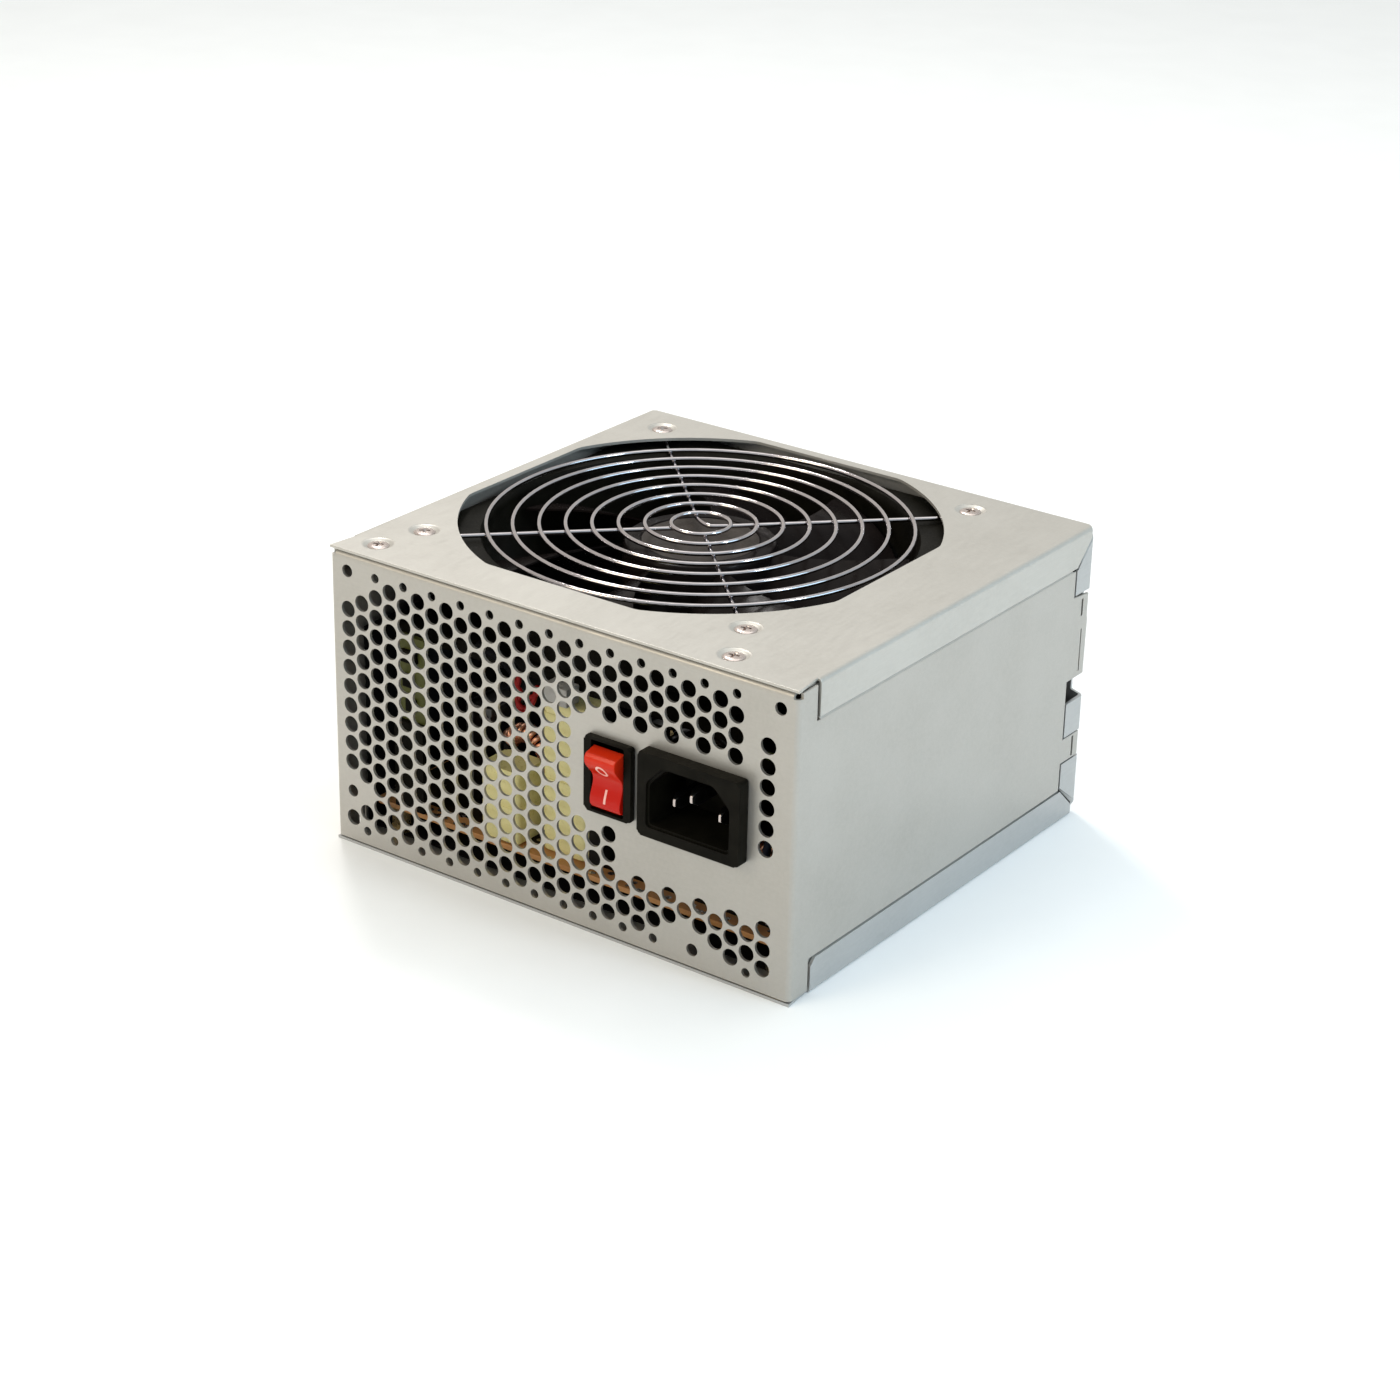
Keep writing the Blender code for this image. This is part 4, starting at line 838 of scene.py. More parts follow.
def add_blade(bm, turn):
    """A curved blade, thick along its middle and thin at both edges, leaning less towards its tip."""
    inner, outer, low, high = 20.2, 56.4, 63.7, 79.3
    along, across = 14, 12
    upper, under = [], []
    for i in range(along + 1):
        share = i / along
        radius = inner + share * (outer - inner)
        sweep = math.radians(31 + 8 * share)
        drop = (high - low) * (1 - 0.25 * share)
        lead_angle = math.radians(14) * share**1.4 + turn
        round_tip = 0.10 * max(0.0, share - 0.9) / 0.1
        over, below = [], []
        for j in range(across + 1):
            t = (j / across - 0.5) * (1 - round_tip)
            angle = t * sweep + lead_angle
            camber = 1.5 * (0.25 - t * t) * 4
            height = (low + high) / 2 + t * drop + camber
            half = 0.28 + 0.65 * (0.25 - t * t) * 4
            x, y = FAN_X + radius * math.cos(angle), FAN_Y + radius * math.sin(angle)
            over.append(bm.verts.new((x, y, height + half)))
            below.append(bm.verts.new((x, y, height - half)))
        upper.append(over)
        under.append(below)
    for i in range(along):
        for j in range(across):
            bm.faces.new((upper[i][j], upper[i + 1][j], upper[i + 1][j + 1], upper[i][j + 1]))
            bm.faces.new((under[i][j], under[i][j + 1], under[i + 1][j + 1], under[i + 1][j]))
        for j in (0, across):
            bm.faces.new((upper[i][j], under[i][j], under[i + 1][j], upper[i + 1][j]))
    for i in (0, along):
        for j in range(across):
            bm.faces.new((upper[i][j], upper[i][j + 1], under[i][j + 1], under[i][j]))


def rotor():
    """The hub cup with its seven blades, and a plain disc of label on the hub."""
    top, low, radius = 80.6, 62.5, 21.0
    profile = [
        (0, top - 0.3), (16.2, top - 0.3), (16.4, top), (radius - 1.6, top), (radius - 0.6, top - 0.35),
        (radius - 0.1, top - 1.1), (radius, top - 2), (radius, low), (radius - 1.6, low),
        (radius - 1.6, top - 2),
        (3.6, top - 2), (3.6, 75), (1.8, 75), (1.8, 79), (0, 79),
    ]
    hub = object_of(shape(add_lathe, profile, (FAN_X, FAN_Y, 0), 96), "rotor")
    for number in range(7):
        combine(hub, shape(add_blade, 2 * math.pi * number / 7), "UNION")
    show(hub, "blade_plastic", ROTOR, ["fan_rotor"])
    bm = bmesh.new()
    disc = [(0, top - 0.1), (15.6, top - 0.1), (15.9, top - 0.2), (15.9, top - 0.29), (0, top - 0.29)]
    add_lathe(bm, disc, (FAN_X, FAN_Y, 0), 72)
    show(object_of(bm, "hub_label"), "hub_label", ROTOR)


# ---------------------------------------------------------------- inlet and switch

INLET_PINS = ("inlet_pin_line", "inlet_pin_neutral", "inlet_pin_earth")
REST_TILT = math.radians(11)
PIVOT = Vector((SWITCH_X, FRONT + 1.5, SWITCH_Z))


def front_plane(x, z, y):
    """Places local (across, up, towards the viewer) at this point of the vent panel."""
    return Matrix.Translation((x, y, z)) @ FACING_FRONT


def socket_outline(width, height, chamfer):
    """A rectangle with its two top corners cut off."""
    x, y = width / 2, height / 2
    return [(-x, -y), (x, -y), (x, y - chamfer), (x - chamfer, y), (-x + chamfer, y), (-x, y - chamfer)]


def mains_inlet():
    """The moulded flange and body, with a shallow step round the deep socket's mouth and three slots."""
    flange_rear, flange_front = FRONT - 0.3, INLET_LOW.y
    floor = flange_front + 16
    rim = rectangle(31.2, 23.1)
    bm = bmesh.new()
    depth = flange_rear - flange_front
    add_plate(bm, round_outline(rim, 1.2), 0, depth, front_plane(INLET_X, INLET_Z, flange_rear), 0.6, 4)
    housing = object_of(bm, "mains_inlet")
    bm = bmesh.new()
    add_box(bm, (INLET_X - 13.6, flange_rear - 1, INLET_Z - 9.7),
            (INLET_X + 13.6, INLET_HIGH.y, INLET_Z + 9.7), 0.8)
    combine(housing, bm, "UNION")
    mouth = round_outline(socket_outline(25.7, 17.5, 5.2), 1.4)
    combine(housing, shape(add_plate, mouth, 0, 3, front_plane(INLET_X, INLET_Z, flange_front + 0.7)))
    section = round_outline(socket_outline(24.4, 16.2, 5.0), 1.2)
    combine(housing, shape(add_plate, section, 0, 20, front_plane(INLET_X, INLET_Z, floor)))
    bm = bmesh.new()
    for node in INLET_PINS:
        low, high = cad(node)
        add_box(bm, (low.x - 0.3, floor - 2, low.z - 0.3), (high.x + 0.3, INLET_HIGH.y + 2, high.z + 0.3))
    combine(housing, bm)
    show(housing, "black_plastic", nodes=["inlet_housing"])


def inlet_pins():
    """Flat blades with a long chamfer on all four sides of the tip and a solder tail behind."""
    for node in INLET_PINS:
        low, high = cad(node)
        middle_x, middle_z = (low.x + high.x) / 2, (low.z + high.z) / 2
        half_x, half_z = (high.x - low.x) / 2, (high.z - low.z) / 2
        sections = [
            (low.y, 0.34, 0.44), (low.y + 0.15, 0.42, 0.52), (low.y + 1.8, 1, 1), (high.y - 7, 1, 1),
            (high.y - 6.8, 0.4, 1), (high.y - 0.4, 0.4, 1), (high.y, 0.4, 0.8),
        ]
        bm = bmesh.new()
        rings = []
        for y, share_x, share_z in sections:
            outline = round_outline(rectangle(2 * half_x * share_x, 2 * half_z * share_z), 0.25, 3)
            rings.append([bm.verts.new((middle_x + px, y, middle_z + pz)) for px, pz in outline])
        bm.faces.new(rings[0])
        bm.faces.new(rings[-1][::-1])
        for first, second in zip(rings, rings[1:]):
            for i in range(len(first)):
                j = (i + 1) % len(first)
                bm.faces.new((first[i], first[j], second[j], second[i]))
        blade = show(object_of(bm, node + "_blade"), "shaded_steel", nodes=[node], angle=50)
        # Painted light: the shafts keep the near-black steel as painted shade, and the tip faces take bright
        # steel as a painted highlight.
        blade.data.materials.append(finishes["bright_steel"])
        for face in blade.data.polygons:
            face.material_index = int(face.center.y < (low.y + 0.2) * MM)


def switch_bezel():
    """A rounded bezel with a rectangular mouth, and the box behind the panel that holds the pivots."""
    front, back = SWITCH_LOW.y, SWITCH_HIGH.y
    bm = bmesh.new()
    depth = FRONT - 0.3 - front
    outline = round_outline(rectangle(14.9, 20.9), 1.1)
    add_plate(bm, outline, 0, depth, front_plane(SWITCH_X, SWITCH_Z, FRONT - 0.3), 0.7, 4)
    housing = object_of(bm, "switch_bezel")
    bm = bmesh.new()
    add_box(bm, (SWITCH_X - 6.5, FRONT - 1.2, SWITCH_Z - 9.6), (SWITCH_X + 6.5, back, SWITCH_Z + 9.6), 0.4)
    combine(housing, bm, "UNION")
    mouth = round_outline(rectangle(10.4, 19.4), 0.5)
    combine(housing, shape(add_plate, mouth, 0, 8, front_plane(SWITCH_X, SWITCH_Z, FRONT + 0.3)))
    well = rectangle(10.4, 17.8)
    combine(housing, shape(add_plate, well, 0, 9, front_plane(SWITCH_X, SWITCH_Z, FRONT + 8)))
    show(housing, "black_plastic", nodes=["switch_housing"])


def rocker_matrix():
    """Local (across, towards the viewer, up) of the rocker, tilted about its pivot as it rests."""
    upright = Matrix(((1, 0, 0), (0, -1, 0), (0, 0, 1))).to_4x4()
    return Matrix.Translation(PIVOT) @ Matrix.Rotation(REST_TILT, 4, "X") @ upright


def rocker_face(up):
    """How far the rocker's face stands out at this height: two scooped halves with rounded crests."""
    half_length, peak, valley, crest = 8.3, 5.75, 3.35, 0.76
    share = min(1.0, abs(up) / half_length)
    rise = min(1.0, share / crest)
    fall = max(0.0, share - crest) / (1 - crest)
    swell = (peak - valley) * (1 - math.cos(math.pi * rise)) / 2
    rounding = 1.5 * (1 - math.sqrt(1 - fall**2 * 0.98))
    return valley + swell - rounding


def rocker():
    """A glossy red rocker with a scooped face and rounded edges, and its two moulded marks."""
    width, half_length, steps = 9.7, 8.25, 28
    bm = bmesh.new()
    profile = []
    for step in range(steps + 1):
        up = half_length * (1 - 2 * step / steps)
        profile.append((up, rocker_face(up)))
    rear = [(-half_length, 1.0), (-3, -2.4), (3, -2.4), (half_length, 1.0)]
    edge = 0.45
    sections = []
    for across, inset in ((-width / 2, edge), (-width / 2 + edge * 0.3, edge * 0.3), (-width / 2 + edge, 0),
                          (width / 2 - edge, 0), (width / 2 - edge * 0.3, edge * 0.3), (width / 2, edge)):
        ring = [bm.verts.new((across, forward - inset, up * (1 - inset / 12))) for up, forward in profile]
        ring += [bm.verts.new((across, forward, up)) for up, forward in rear]
        sections.append(ring)
    bm.faces.new(sections[0])
    bm.faces.new(sections[-1][::-1])
    count = len(sections[0])
    for first, second in zip(sections, sections[1:]):
        for i in range(count):
            j = (i + 1) % count
            bm.faces.new((first[i], second[i], second[j], first[j]))
    bmesh.ops.transform(bm, matrix=rocker_matrix(), verts=bm.verts)
    body = object_of(bm, "rocker")
    stub = [(0, -6.2), (1.0, -6.2), (1.2, -6.0), (1.2, 6.0), (1.0, 6.2), (0, 6.2)]
    combine(body, shape(add_lathe, stub, PIVOT, 32, ALONG_X), "UNION")
    show(body, "red_plastic", ROCKER, ["switch_rocker"])
    rocker_marks()


def rocker_marks():
    """The usual open ring and bar of a power switch, slightly proud of the rocker's face."""
    proud, sides = 0.06, 40

    def ribbon(name, inner, outer, closed):
        """A thin raised strip between two outlines of (across, up) on the rocker's face."""
        bm = bmesh.new()
        rows = []
        for outline, lift in ((inner, -0.3), (inner, proud), (outer, proud), (outer, -0.3)):
            rows.append([bm.verts.new((a, rocker_face(up) + lift, up)) for a, up in outline])
        count = len(inner)
        for first, second in zip(rows, rows[1:] + rows[:1]):
            for i in range(count if closed else count - 1):
                j = (i + 1) % count
                bm.faces.new((first[i], first[j], second[j], second[i]))
        if not closed:
            bm.faces.new([row[0] for row in rows])
            bm.faces.new([row[-1] for row in rows])
        bmesh.ops.transform(bm, matrix=rocker_matrix(), verts=bm.verts)
        show(object_of(bm, name), "mark_paint", ROCKER)

    def oval(half_wide, half_high, middle):
        """An upright oval on the rocker's face."""
        angles = [2 * math.pi * i / sides for i in range(sides)]
        return [(half_wide * math.cos(a), middle + half_high * math.sin(a)) for a in angles]

    ribbon("mark_ring", oval(1.15, 1.35, 3.9), oval(1.75, 1.95, 3.9), True)
    heights = [-5.6 + 3.4 * i / 8 for i in range(9)]
    ribbon("mark_bar", [(-0.32, up) for up in heights], [(0.32, up) for up in heights], False)


def switch_terminals():
    """Brass push-on tabs with a hole and a chamfered end."""
    for node in ("switch_terminal_line", "switch_terminal_load"):
        low, high = cad(node)
        width = high.x - low.x
        middle = Vector(((low.x + high.x) / 2, 0, low.z))
        length = high.y - low.y
        outline = [(-width / 2, 0), (width / 2, 0), (width / 2, length - 1.2), (width / 2 - 1.2, length),
                   (-width / 2 + 1.2, length), (-width / 2, length - 1.2)]
        bm = bmesh.new()
        add_plate(bm, outline, 0, high.z - low.z, Matrix.Translation((middle.x, low.y, low.z)), 0.12)
        tab = object_of(bm, node + "_tab")
        bm = bmesh.new()
        add_lathe(bm, [(0, -1), (0.8, -1), (0.8, 2), (0, 2)], (middle.x, low.y + length - 2.6, low.z), 20)
        combine(tab, bm)
        show(tab, "brass", nodes=[node])


# ---------------------------------------------------------------- circuit board and its parts


def circuit_board():
    """The laminate with its four drilled corners."""
    low, high = BOARD_LOW, BOARD_HIGH
    bm = bmesh.new()
    middle = (low + high) / 2
    size = high - low
    outline = round_outline(rectangle(size.x, size.y), 1.5, 3)
    add_plate(bm, outline, low.z, high.z - 0.12, Matrix.Translation((middle.x, middle.y, 0)), 0.15)
    laminate = object_of(bm, "board_laminate")
    bm = bmesh.new()
    for x in (low.x + 5, high.x - 5):
        for y in (low.y + 5, high.y - 5):
            add_lathe(bm, [(0, 5), (1.7, 5), (1.7, 20), (0, 20)], (x, y, 0), 20)
    combine(laminate, bm)
    show(laminate, "board_brown", nodes=["circuit_board"])


def board_coating():
    """The dark coating on the board's upper side, which stops short of the front edge."""
    low, high = BOARD_LOW, BOARD_HIGH
    middle, size = (low + high) / 2, high - low
    bm = bmesh.new()
    edge, bare_front = 0.8, 5.5
    face = rectangle(size.x - 2 * edge, size.y - edge - bare_front)
    place = Matrix.Translation((middle.x, middle.y + (bare_front - edge) / 2, 0))
    add_plate(bm, round_outline(face, 1.5, 3), high.z - 0.12, high.z - 0.03, place)
    show(object_of(bm, "board_mask"), "board_mask")


def solder_points():
    """Small domes of solder, mostly near the board's front edge."""
    low, high = BOARD_LOW, BOARD_HIGH
    pads = random.Random(7)
    bm = bmesh.new()
    for _ in range(90):
        x, y = pads.uniform(low.x + 4, high.x - 4), low.y + 1.2 + 22 * pads.random() ** 2.2
        height, radius = high.z - 0.03, pads.uniform(0.5, 1.0)
        add_lathe(bm, [(0, height + 0.25), (radius * 0.4, height + 0.2), (radius, height), (0, height)],
                  (x, y, 0), 10)
    show(object_of(bm, "solder_pads"), "bright_steel")


def board_fixings():
    """Four hexagonal standoffs under the board's corners, and the screws into them."""
    for number in range(1, 5):
        low, high = cad(f"standoff_{number}")
        x, y = (low.x + high.x) / 2, (low.y + high.y) / 2
        bm = bmesh.new()
        hexagon = [(px, py) for px, py, _ in circle(x, y, 0, 3, 6)]
        add_plate(bm, hexagon, low.z, high.z, edge=0.3)
        show(object_of(bm, f"standoff_{number}_turned"), "brass", nodes=[f"standoff_{number}"])
        node = f"board_screw_{number}"
        made = screw(node + "_detailed", x, y, cad(node)[1].z, 2.2, 2.9, 20 * number)
        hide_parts(node)


def taped_block(name, node, edge):
    """A winding under yellow tape: soft edges, and two wraps that stand a little proud."""
    low, high = cad(node)
    bm = bmesh.new()
    outline = round_outline(rectangle(high.x - low.x - 0.3, high.y - low.y - 0.3), edge, 6)
    middle = (low + high) / 2
    place = Matrix.Translation((middle.x, middle.y, 0))
    add_plate(bm, outline, low.z, high.z, place, 0.8)
    wrap = round_outline(rectangle(high.x - low.x, high.y - low.y), edge, 6)
    third = (high.z - low.z) / 3
    for start, stop in ((0.35, 1.45), (1.6, 2.75)):
        add_plate(bm, wrap, low.z + start * third, low.z + stop * third, place, 0.1)
    show(object_of(bm, name), "yellow_tape", nodes=[node])


def transformers():
    """Two taped windings; the main one has a flat ferrite loop with a tall block at its right end."""
    low, high = cad("main_transformer_core")
    loop_low, loop_high, loop_front = 25, 37, -50
    left, right, bar = low.x + 3.7, high.x - 3.7, high.y - 5.7
    bm = bmesh.new()
    add_box(bm, (low.x, loop_front, loop_low), (left, high.y, loop_high), 0.4)
    add_box(bm, (left - 0.1, bar, loop_low), (right + 0.1, high.y, loop_high), 0.4)
    add_box(bm, (right, bar - 0.1, loop_low), (high.x, high.y, loop_high), 0.4)
    add_box(bm, (right, low.y, low.z), (high.x, bar, high.z), 0.4)
    show(object_of(bm, "ferrite_loop"), "ferrite", nodes=["main_transformer_core"])
    taped_block("main_winding", "main_transformer_winding", 3.0)
    taped_block("standby_winding", "standby_transformer", 1.5)


def wound_ring(name, node, centre, major, minor, turns, wire, turn=Matrix.Identity(4)):
    """A powder-iron ring with one layer of thick wire wound close round most of it."""
    matrix = Matrix.Translation(centre) @ turn
    bm = bmesh.new()
    core = bmesh.new()
    add_tube(core, circle(0, 0, 0, major, 48), minor - wire, 20, closed=True)
    append(bm, core, matrix)
    show(object_of(bm, name + "_core"), "ferrite")
    coil = []
    steps = 12
    for i in range(turns * steps + 1):
        along = math.radians(-155) + math.radians(310) * i / (turns * steps)
        round_wire = 2 * math.pi * i / steps
        reach = minor - wire / 2
        radius = major + reach * math.cos(round_wire)
        coil.append((radius * math.cos(along), radius * math.sin(along), reach * math.sin(round_wire)))
    bm = bmesh.new()
    winding = bmesh.new()
    add_tube(winding, coil, wire / 2, 8)
    append(bm, winding, matrix)
    show(object_of(bm, name + "_winding"), "copper_wire", nodes=[node], angle=70)


def chokes():
    """The flat ring choke of the mains filter and the upright one of the output, on its two legs."""
    low, high = cad("line_filter_choke")
    wound_ring("line_choke", "line_filter_choke", (low + high) / 2, 7, 4, 15, 1.3)
    low, high = cad("output_choke")
    centre = Vector(((low.x + high.x) / 2, (low.y + high.y) / 2, high.z - 9.6))
    wound_ring("standing_choke", "output_choke", centre, 6.8, 2.8, 22, 1.5, FACING_FRONT)
    bm = bmesh.new()
    for side in (-1, 1):
        x = centre.x + side * 3
        add_tube(bm, [(x, centre.y, low.z), (x, centre.y, centre.z - 8.5)], 0.75, 10)
    show(object_of(bm, "choke_legs"), "copper_wire")


def heatsinks():
    """Upright plates whose top edge is bent over and slotted into fingers."""
    for name in ("primary", "secondary"):
        node = name + "_heatsink"
        low, high = cad(node)
        bm = bmesh.new()
        add_box(bm, (low.x, low.y, low.z), (low.x + 2.5, low.y + 90, high.z), 0.3)
        for finger in range(6):
            y = low.y + finger * 15.5
            add_box(bm, (low.x + 0.6, y, high.z - 2.5), (high.x, y + 12.5, high.z), 0.5)
            for rib in range(3):
                x = low.x + 4 + rib * (high.x - low.x - 5) / 2.6
                add_box(bm, (x, y + 0.8, high.z - 4.2), (x + 0.8, y + 11.7, high.z - 2.0), 0.2)
        show(object_of(bm, name + "_fins"), "aluminium", nodes=[node])


def power_transistors():
    """Plastic bodies with a metal tab and three legs."""
    for node in ("switching_transistor_1", "switching_transistor_2", "output_rectifier"):
        low, high = cad(node)
        bm = bmesh.new()
        add_box(bm, (low.x + 0.6, low.y, low.z + 4.5), (high.x, high.y, high.z - 4.5), 0.35)
        show(object_of(bm, node + "_body"), "black_plastic", nodes=[node])
        bm = bmesh.new()
        add_box(bm, (low.x, low.y, low.z + 5), (low.x + 1.2, high.y, high.z), 0.2)
        middle = (low.y + high.y) / 2
        for leg in (-2.5, 0, 2.5):
            add_box(bm, (low.x + 2.0, middle + leg - 0.4, low.z - 3.9),
                    (low.x + 2.5, middle + leg + 0.4, low.z + 5), 0.1)
        show(object_of(bm, node + "_tab"), "bright_steel")


def capacitors():
    """Sleeved cans with a crimped groove, a rolled rim and a scored vent on top."""
    kinds = [(f"bulk_capacitor_{n}", "dark_sleeve") for n in (1, 2)]
    kinds += [(f"output_capacitor_{n}", "green_sleeve") for n in (1, 2, 3)]
    for node, finish in kinds:
        low, high = cad(node)
        x, y = (low.x + high.x) / 2, (low.y + high.y) / 2
        radius, top = (high.x - low.x) / 2, high.z
        rim = ((0.86, -0.15), (0.93, 0), (0.985, -0.3), (1, -0.9))
        foot = ((1, 3.2), (0.95, 2.6), (0.95, 2.2), (1, 1.6), (1, 0.4), (0.95, 0), (0, 0))
        profile = [(radius * share, top + rise) for share, rise in rim]
        profile += [(radius * share, low.z + rise) for share, rise in foot]
        bm = bmesh.new()
        add_lathe(bm, profile, (x, y, 0), 40)
        well = [(radius * 0.86, top - 0.15), (radius * 0.84, top - 0.6), (0, top - 0.6)]
        add_lathe(bm, well, (x, y, 0), 40)
        bmesh.ops.remove_doubles(bm, verts=bm.verts, dist=0.001)
        show(object_of(bm, node + "_sleeve"), finish, nodes=[node])
        bm = bmesh.new()
        disc = ((0, -0.35), (0.8, -0.35), (0.83, -0.5), (0, -0.55))
        add_lathe(bm, [(radius * share, top + rise) for share, rise in disc], (x, y, 0), 40)
        lid = object_of(bm, node + "_lid")
        for angle in (0, 60, 120):
            bm = bmesh.new()
            add_box(bm, (-radius * 0.55, -0.15, -0.12), (radius * 0.55, 0.15, 0.3))
            matrix = Matrix.Translation((x, y, top - 0.35)) @ Matrix.Rotation(math.radians(angle), 4, "Z")
            bmesh.ops.transform(bm, matrix=matrix, verts=bm.verts)
            combine(lid, bm)
        show(lid, "dark_sleeve")


def moulded_blocks():
    """Smaller box-shaped parts, with soft edges and their legs."""
    for node, finish, edge in (("filter_capacitor", "yellow_case", 0.8),
                               ("bridge_rectifier", "black_plastic", 0.5)):
        low, high = cad(node)
        bm = bmesh.new()
        add_box(bm, (low.x, low.y, low.z + 1.2), (high.x, high.y, high.z), edge, 3)
        for share in (0.15, 0.85):
            y = low.y + share * (high.y - low.y)
            middle = (low.x + high.x) / 2
            add_box(bm, (middle - 0.5, y - 0.6, low.z - 0.2), (middle + 0.5, y + 0.6, low.z + 2), 0.15)
        show(object_of(bm, node + "_moulded"), finish, nodes=[node])
    low, high = cad("fan_connector")
    plug = object_of(shape(add_box, low, high, 0.4), "fan_plug")
    bm = bmesh.new()
    for share in (0.28, 0.72):
        y = low.y + share * (high.y - low.y)
        add_box(bm, (low.x - 1, y - 0.9, low.z + 1.6), (low.x + 2.5, y + 0.9, high.z - 1.6), 0.2)
        add_box(bm, (low.x + 3.2, y - 0.6, high.z - 0.8), (low.x + 5.4, y + 0.6, high.z + 1))
    combine(plug, bm)
    show(plug, "white_plastic", nodes=["fan_connector"])


def insulating_liner():
    """A dark film folded up between the case and the circuit board."""
    thickness, floor, top = 0.3, 1.4, 60
    wide, front, back = HALF_WIDTH - 2.3, -60, 62
    inner = wide - thickness
    trough = [
        (-wide, top), (-wide, floor), (wide, floor), (wide, top),
        (inner, top), (inner, floor + thickness), (-inner, floor + thickness), (-inner, top),
    ]
    liner = object_of(shape(add_plate, trough, 0, back - front, front_plane(0, 0, back)), "insulating_liner")
    bm = bmesh.new()
    for number in range(1, 5):
        low, high = cad(f"standoff_{number}")
        x, y = (low.x + high.x) / 2, (low.y + high.y) / 2
        add_lathe(bm, [(0, -1), (3.6, -1), (3.6, 4), (0, 4)], (x, y, 0), 24)
    combine(liner, bm)
    show(liner, "black_rubber")


def mains_fuse():
    """A pale tube between two metal caps, held in clips."""
    low, high = cad("mains_fuse")
    y, z = (low.y + high.y) / 2, (low.z + high.z) / 2
    bm = bmesh.new()
    add_lathe(bm, [(0, low.x + 4), (2.4, low.x + 4), (2.4, high.x - 4), (0, high.x - 4)], (0, y, z), 28,
              ALONG_X)
    show(object_of(bm, "fuse_tube"), "fuse_glass", nodes=["mains_fuse"])
    bm = bmesh.new()
    for start, stop in ((low.x, low.x + 5), (high.x - 5, high.x)):
        cap = [(0, start), (2.2, start), (2.6, start + 0.4), (2.6, stop - 0.2), (2.45, stop), (0, stop)]
        add_lathe(bm, cap, (0, y, z), 28, ALONG_X)
        middle = (start + stop) / 2
        add_box(bm, (middle - 1.2, y - 2.6, BOARD_HIGH.z), (middle + 1.2, y + 2.6, z - 1.6), 0.2)
    show(object_of(bm, "fuse_caps"), "bright_steel")


def control_board():
    """The upright board at the front edge, with a black block over its foot and small chips above it."""
    low, high = cad("control_board")
    bm = bmesh.new()
    middle = (low + high) / 2
    outline = round_outline(rectangle(high.x - low.x, high.z - low.z), 0.6, 3)
    add_plate(bm, outline, 0, high.y - low.y, front_plane(middle.x, middle.z, high.y), 0.12)
    show(object_of(bm, "upright_board"), "board_green", nodes=["control_board"])
    bm = bmesh.new()
    add_box(bm, (low.x - 0.4, low.y - 1.6, low.z), (high.x + 0.4, low.y, low.z + 26), 0.3)
    chips = random.Random(3)
    for row in range(3):
        z = low.z + 29 + row * 7
        width = chips.choice((3.2, 4.4, 5.2))
        x = chips.uniform(low.x + 1, high.x - 1 - width)
        add_box(bm, (x, low.y - 1.2, z), (x + width, low.y, z + 3.6), 0.2)
    show(object_of(bm, "board_chips"), "black_plastic")


def fan_motor():
    """The motor under the hub: coils, laminations, magnet ring and shaft."""
    bm = bmesh.new()
    for pole in range(4):
        angle = math.radians(45 + 90 * pole)
        turn = Matrix.Rotation(angle, 4, "Z")
        coil = bmesh.new()
        outline = round_outline(rectangle(6.5, 9), 2.2, 4)
        add_plate(coil, outline, 67, 73, Matrix.Translation((11.4, 0, 0)), 1.4)
        append(bm, coil, Matrix.Translation((FAN_X, FAN_Y, 0)) @ turn)
    show(object_of(bm, "stator_coils"), "copper_wire", nodes=["fan_stator"])
    bm = bmesh.new()
    add_lathe(bm, [(4.9, 68.4), (8.4, 68.4), (8.4, 71.6), (4.9, 71.6)], (FAN_X, FAN_Y, 0), 40, closed=True)
    show(object_of(bm, "stator_stack"), "aluminium")
    low, high = cad("fan_magnet_ring")
    ring = [(17.4, low.z), (18.7, low.z), (19.0, low.z + 0.3), (19.0, high.z - 0.3), (18.7, high.z),
            (17.4, high.z)]
    bm = bmesh.new()
    add_lathe(bm, ring, (FAN_X, FAN_Y, 0), 64, closed=True)
    show(object_of(bm, "magnet_ring"), "ferrite", ROTOR, ["fan_magnet_ring"])
    low, high = cad("fan_shaft")
    bm = bmesh.new()
    groove = [(0, high.z), (1.3, high.z), (1.5, high.z - 0.3), (1.5, low.z + 1.2), (1.2, low.z + 1.1),
              (1.2, low.z + 0.7), (1.5, low.z + 0.6), (1.3, low.z), (0, low.z)]
    add_lathe(bm, groove, (FAN_X, FAN_Y, 0), 32)
    show(object_of(bm, "motor_shaft"), "bright_steel", ROTOR, ["fan_shaft"])


# ---------------------------------------------------------------- leads


LEADS = {
    "lead_inlet_to_switch": ("brown_insulation", 1.1, True),
    "lead_switch_to_board": ("brown_insulation", 1.1, True),
    "lead_neutral": ("blue_insulation", 1.1, True),
    "lead_earth": ("green_insulation", 1.1, True),
    "fan_lead": ("red_insulation", 1.4, False),
}


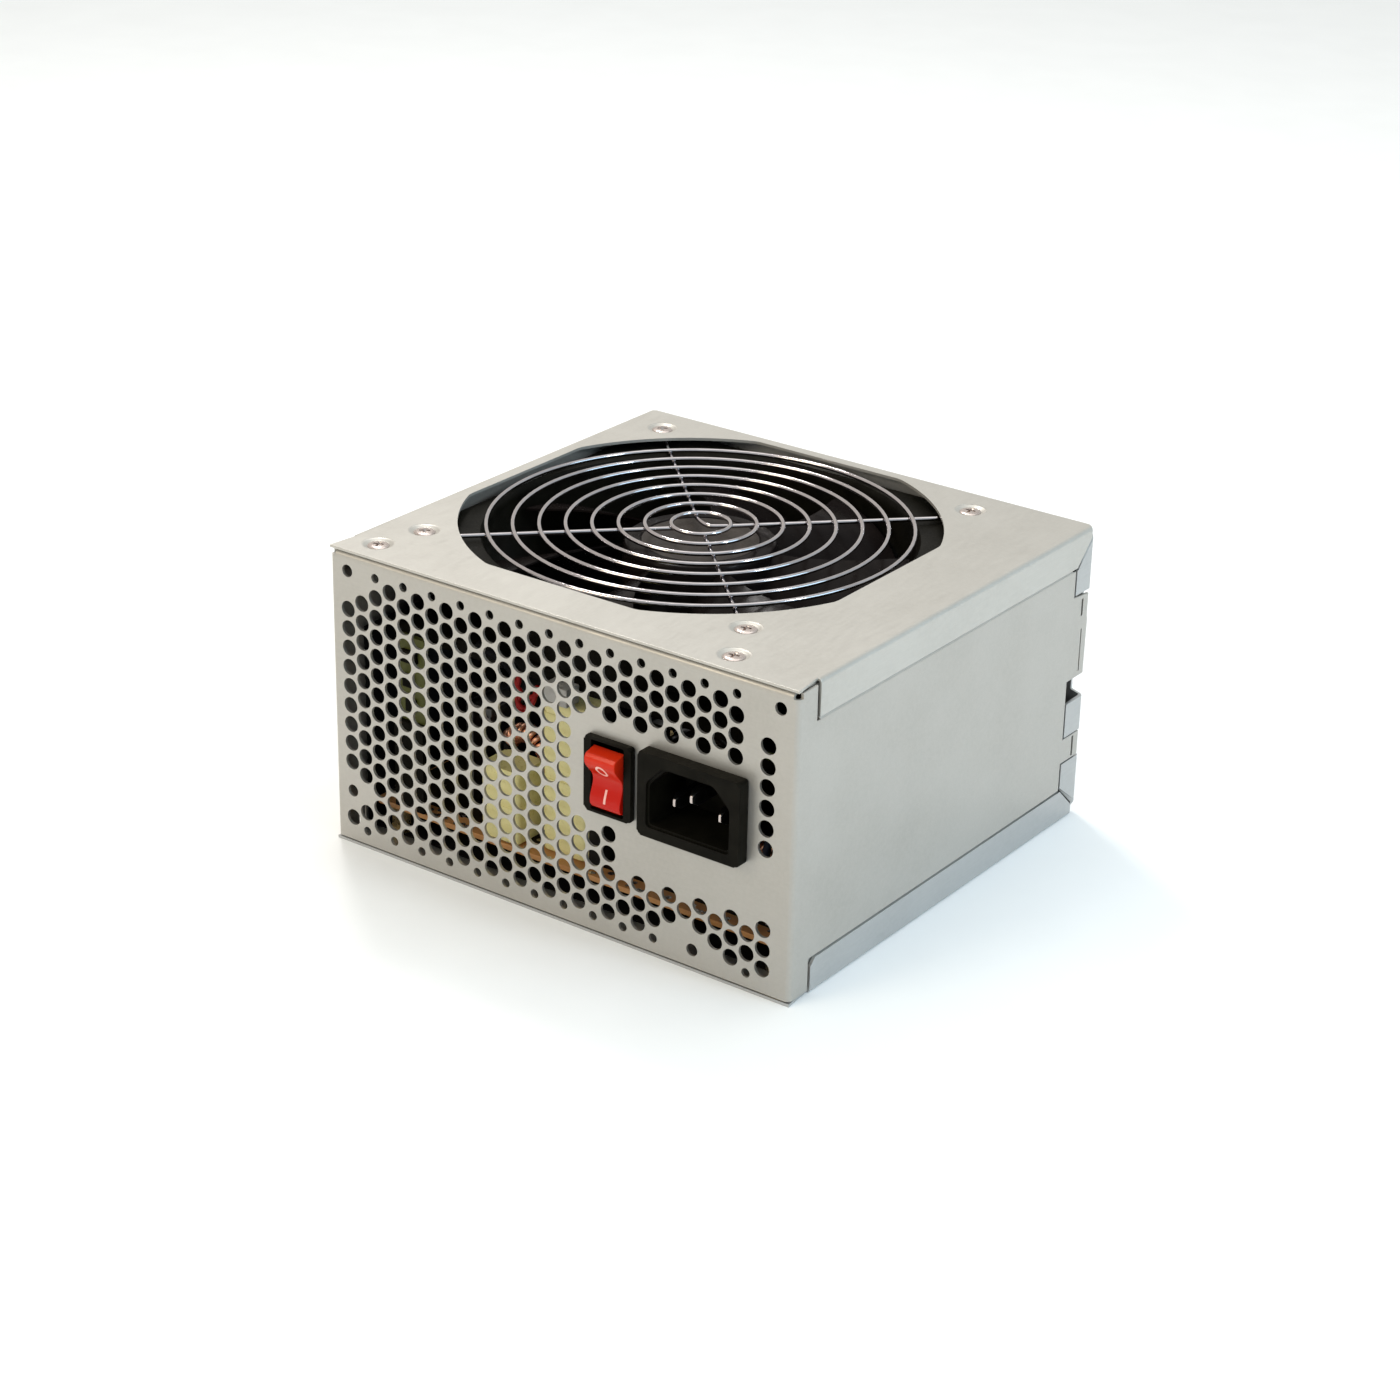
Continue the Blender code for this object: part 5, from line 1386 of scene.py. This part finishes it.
def lead_routes():
    """The points each lead follows, from the part's own inner layout."""
    line_x, neutral_x = INLET_X - 7, INLET_X + 7
    tail = cad("inlet_pin_line")[1].y + 1.3
    pin_z, earth_z = INLET_Z - 2, INLET_Z + 2
    terminal = cad("switch_terminal_line")[1].y + 1.3
    line_z, load_z = SWITCH_Z + 4.5, SWITCH_Z - 4.5
    foot = BOARD_HIGH.z + 0.6
    return {
        "lead_inlet_to_switch": [
            (line_x, tail, pin_z), (line_x - 1, tail + 4, pin_z + 1), (31, tail + 6, 49),
            (SWITCH_X + 3, terminal + 4, line_z + 0.5), (SWITCH_X, terminal, line_z),
        ],
        "lead_switch_to_board": [
            (SWITCH_X, terminal, load_z), (SWITCH_X, terminal + 4, load_z - 1), (22, terminal + 5, 34),
            (24, -42, 22), (24, -41, foot),
        ],
        "lead_neutral": [
            (neutral_x, tail, pin_z), (neutral_x, tail + 4, pin_z - 1), (51, tail + 4, 36), (49, -44, 24),
            (48, -44, foot),
        ],
        "lead_earth": [
            (INLET_X, tail, earth_z), (INLET_X + 1, tail + 5, earth_z + 1), (58, tail + 6, 48), (65, -40, 40),
            (66, -42, 24), (65.5, -45, foot),
        ],
        "fan_lead": [
            (-36, -55.7, 63), (-28, -57.5, 62.5), (-21.5, -59.5, 61), (-18.8, -60.6, 57.5),
            (-18.6, -60.8, 53.5),
            (-17.6, -60.4, 51.2), (-16, -59.8, 52.5), (-15.2, -59, 55.5), (-13.8, -57.8, 57.8),
            (-12.4, -57.3, 58),
        ],
    }


def leads():
    """Insulated wires with a dark sleeve where each starts; the fan's two are twisted together, and their
    long black sleeve is painted shade.
    """
    for node, route in lead_routes().items():
        finish, radius, crimped = LEADS[node]
        path = smooth_route(route)
        bm = bmesh.new()
        if node == "fan_lead":
            for side in (-0.68, 0.68):
                twisted = []
                for i, point in enumerate(path):
                    angle = i * 0.35
                    offset = Vector((math.cos(angle), 0.3 * math.sin(angle), math.sin(angle))) * side
                    twisted.append(Vector(point) + offset)
                add_tube(bm, twisted, 0.68, 12)
        else:
            add_tube(bm, path, radius, 14)
        show(object_of(bm, node + "_insulated"), finish, nodes=[node], angle=60)
        if crimped:
            bm = bmesh.new()
            sleeve = [Vector(path[0]), Vector(path[2]), Vector(path[4])]
            add_tube(bm, sleeve, radius + 0.35, 16)
            show(object_of(bm, node + "_sleeve"), "dark_sleeve", angle=60)
        else:
            # Painted shade: this long black sleeve darkens the fan lead's first stretch, which lies in shade.
            bm = bmesh.new()
            add_tube(bm, path[:20], radius + 0.15, 16)
            show(object_of(bm, node + "_sleeve"), "dark_sleeve", angle=60)


def dress_frame():
    """Gives every CAD node its finish, for the few that no piece replaces."""
    for entry in frame["record"]["subparts"]:
        node = frame["nodes"][entry["node"]]
        node.data.materials.clear()
        node.data.materials.append(finishes[entry["material_slot"]])


# ---------------------------------------------------------------- the scene

finishes = all_finishes()
camera()
studio()
dress_frame()
body_shell()
top_cover()
outlet_bush()
case_screws()
wire_guard()
fan_housing()
rotor()
fan_motor()
mains_inlet()
inlet_pins()
switch_bezel()
rocker()
switch_terminals()
circuit_board()
board_coating()
solder_points()
board_fixings()
transformers()
chokes()
heatsinks()
power_transistors()
capacitors()
moulded_blocks()
insulating_liner()
mains_fuse()
control_board()
leads()
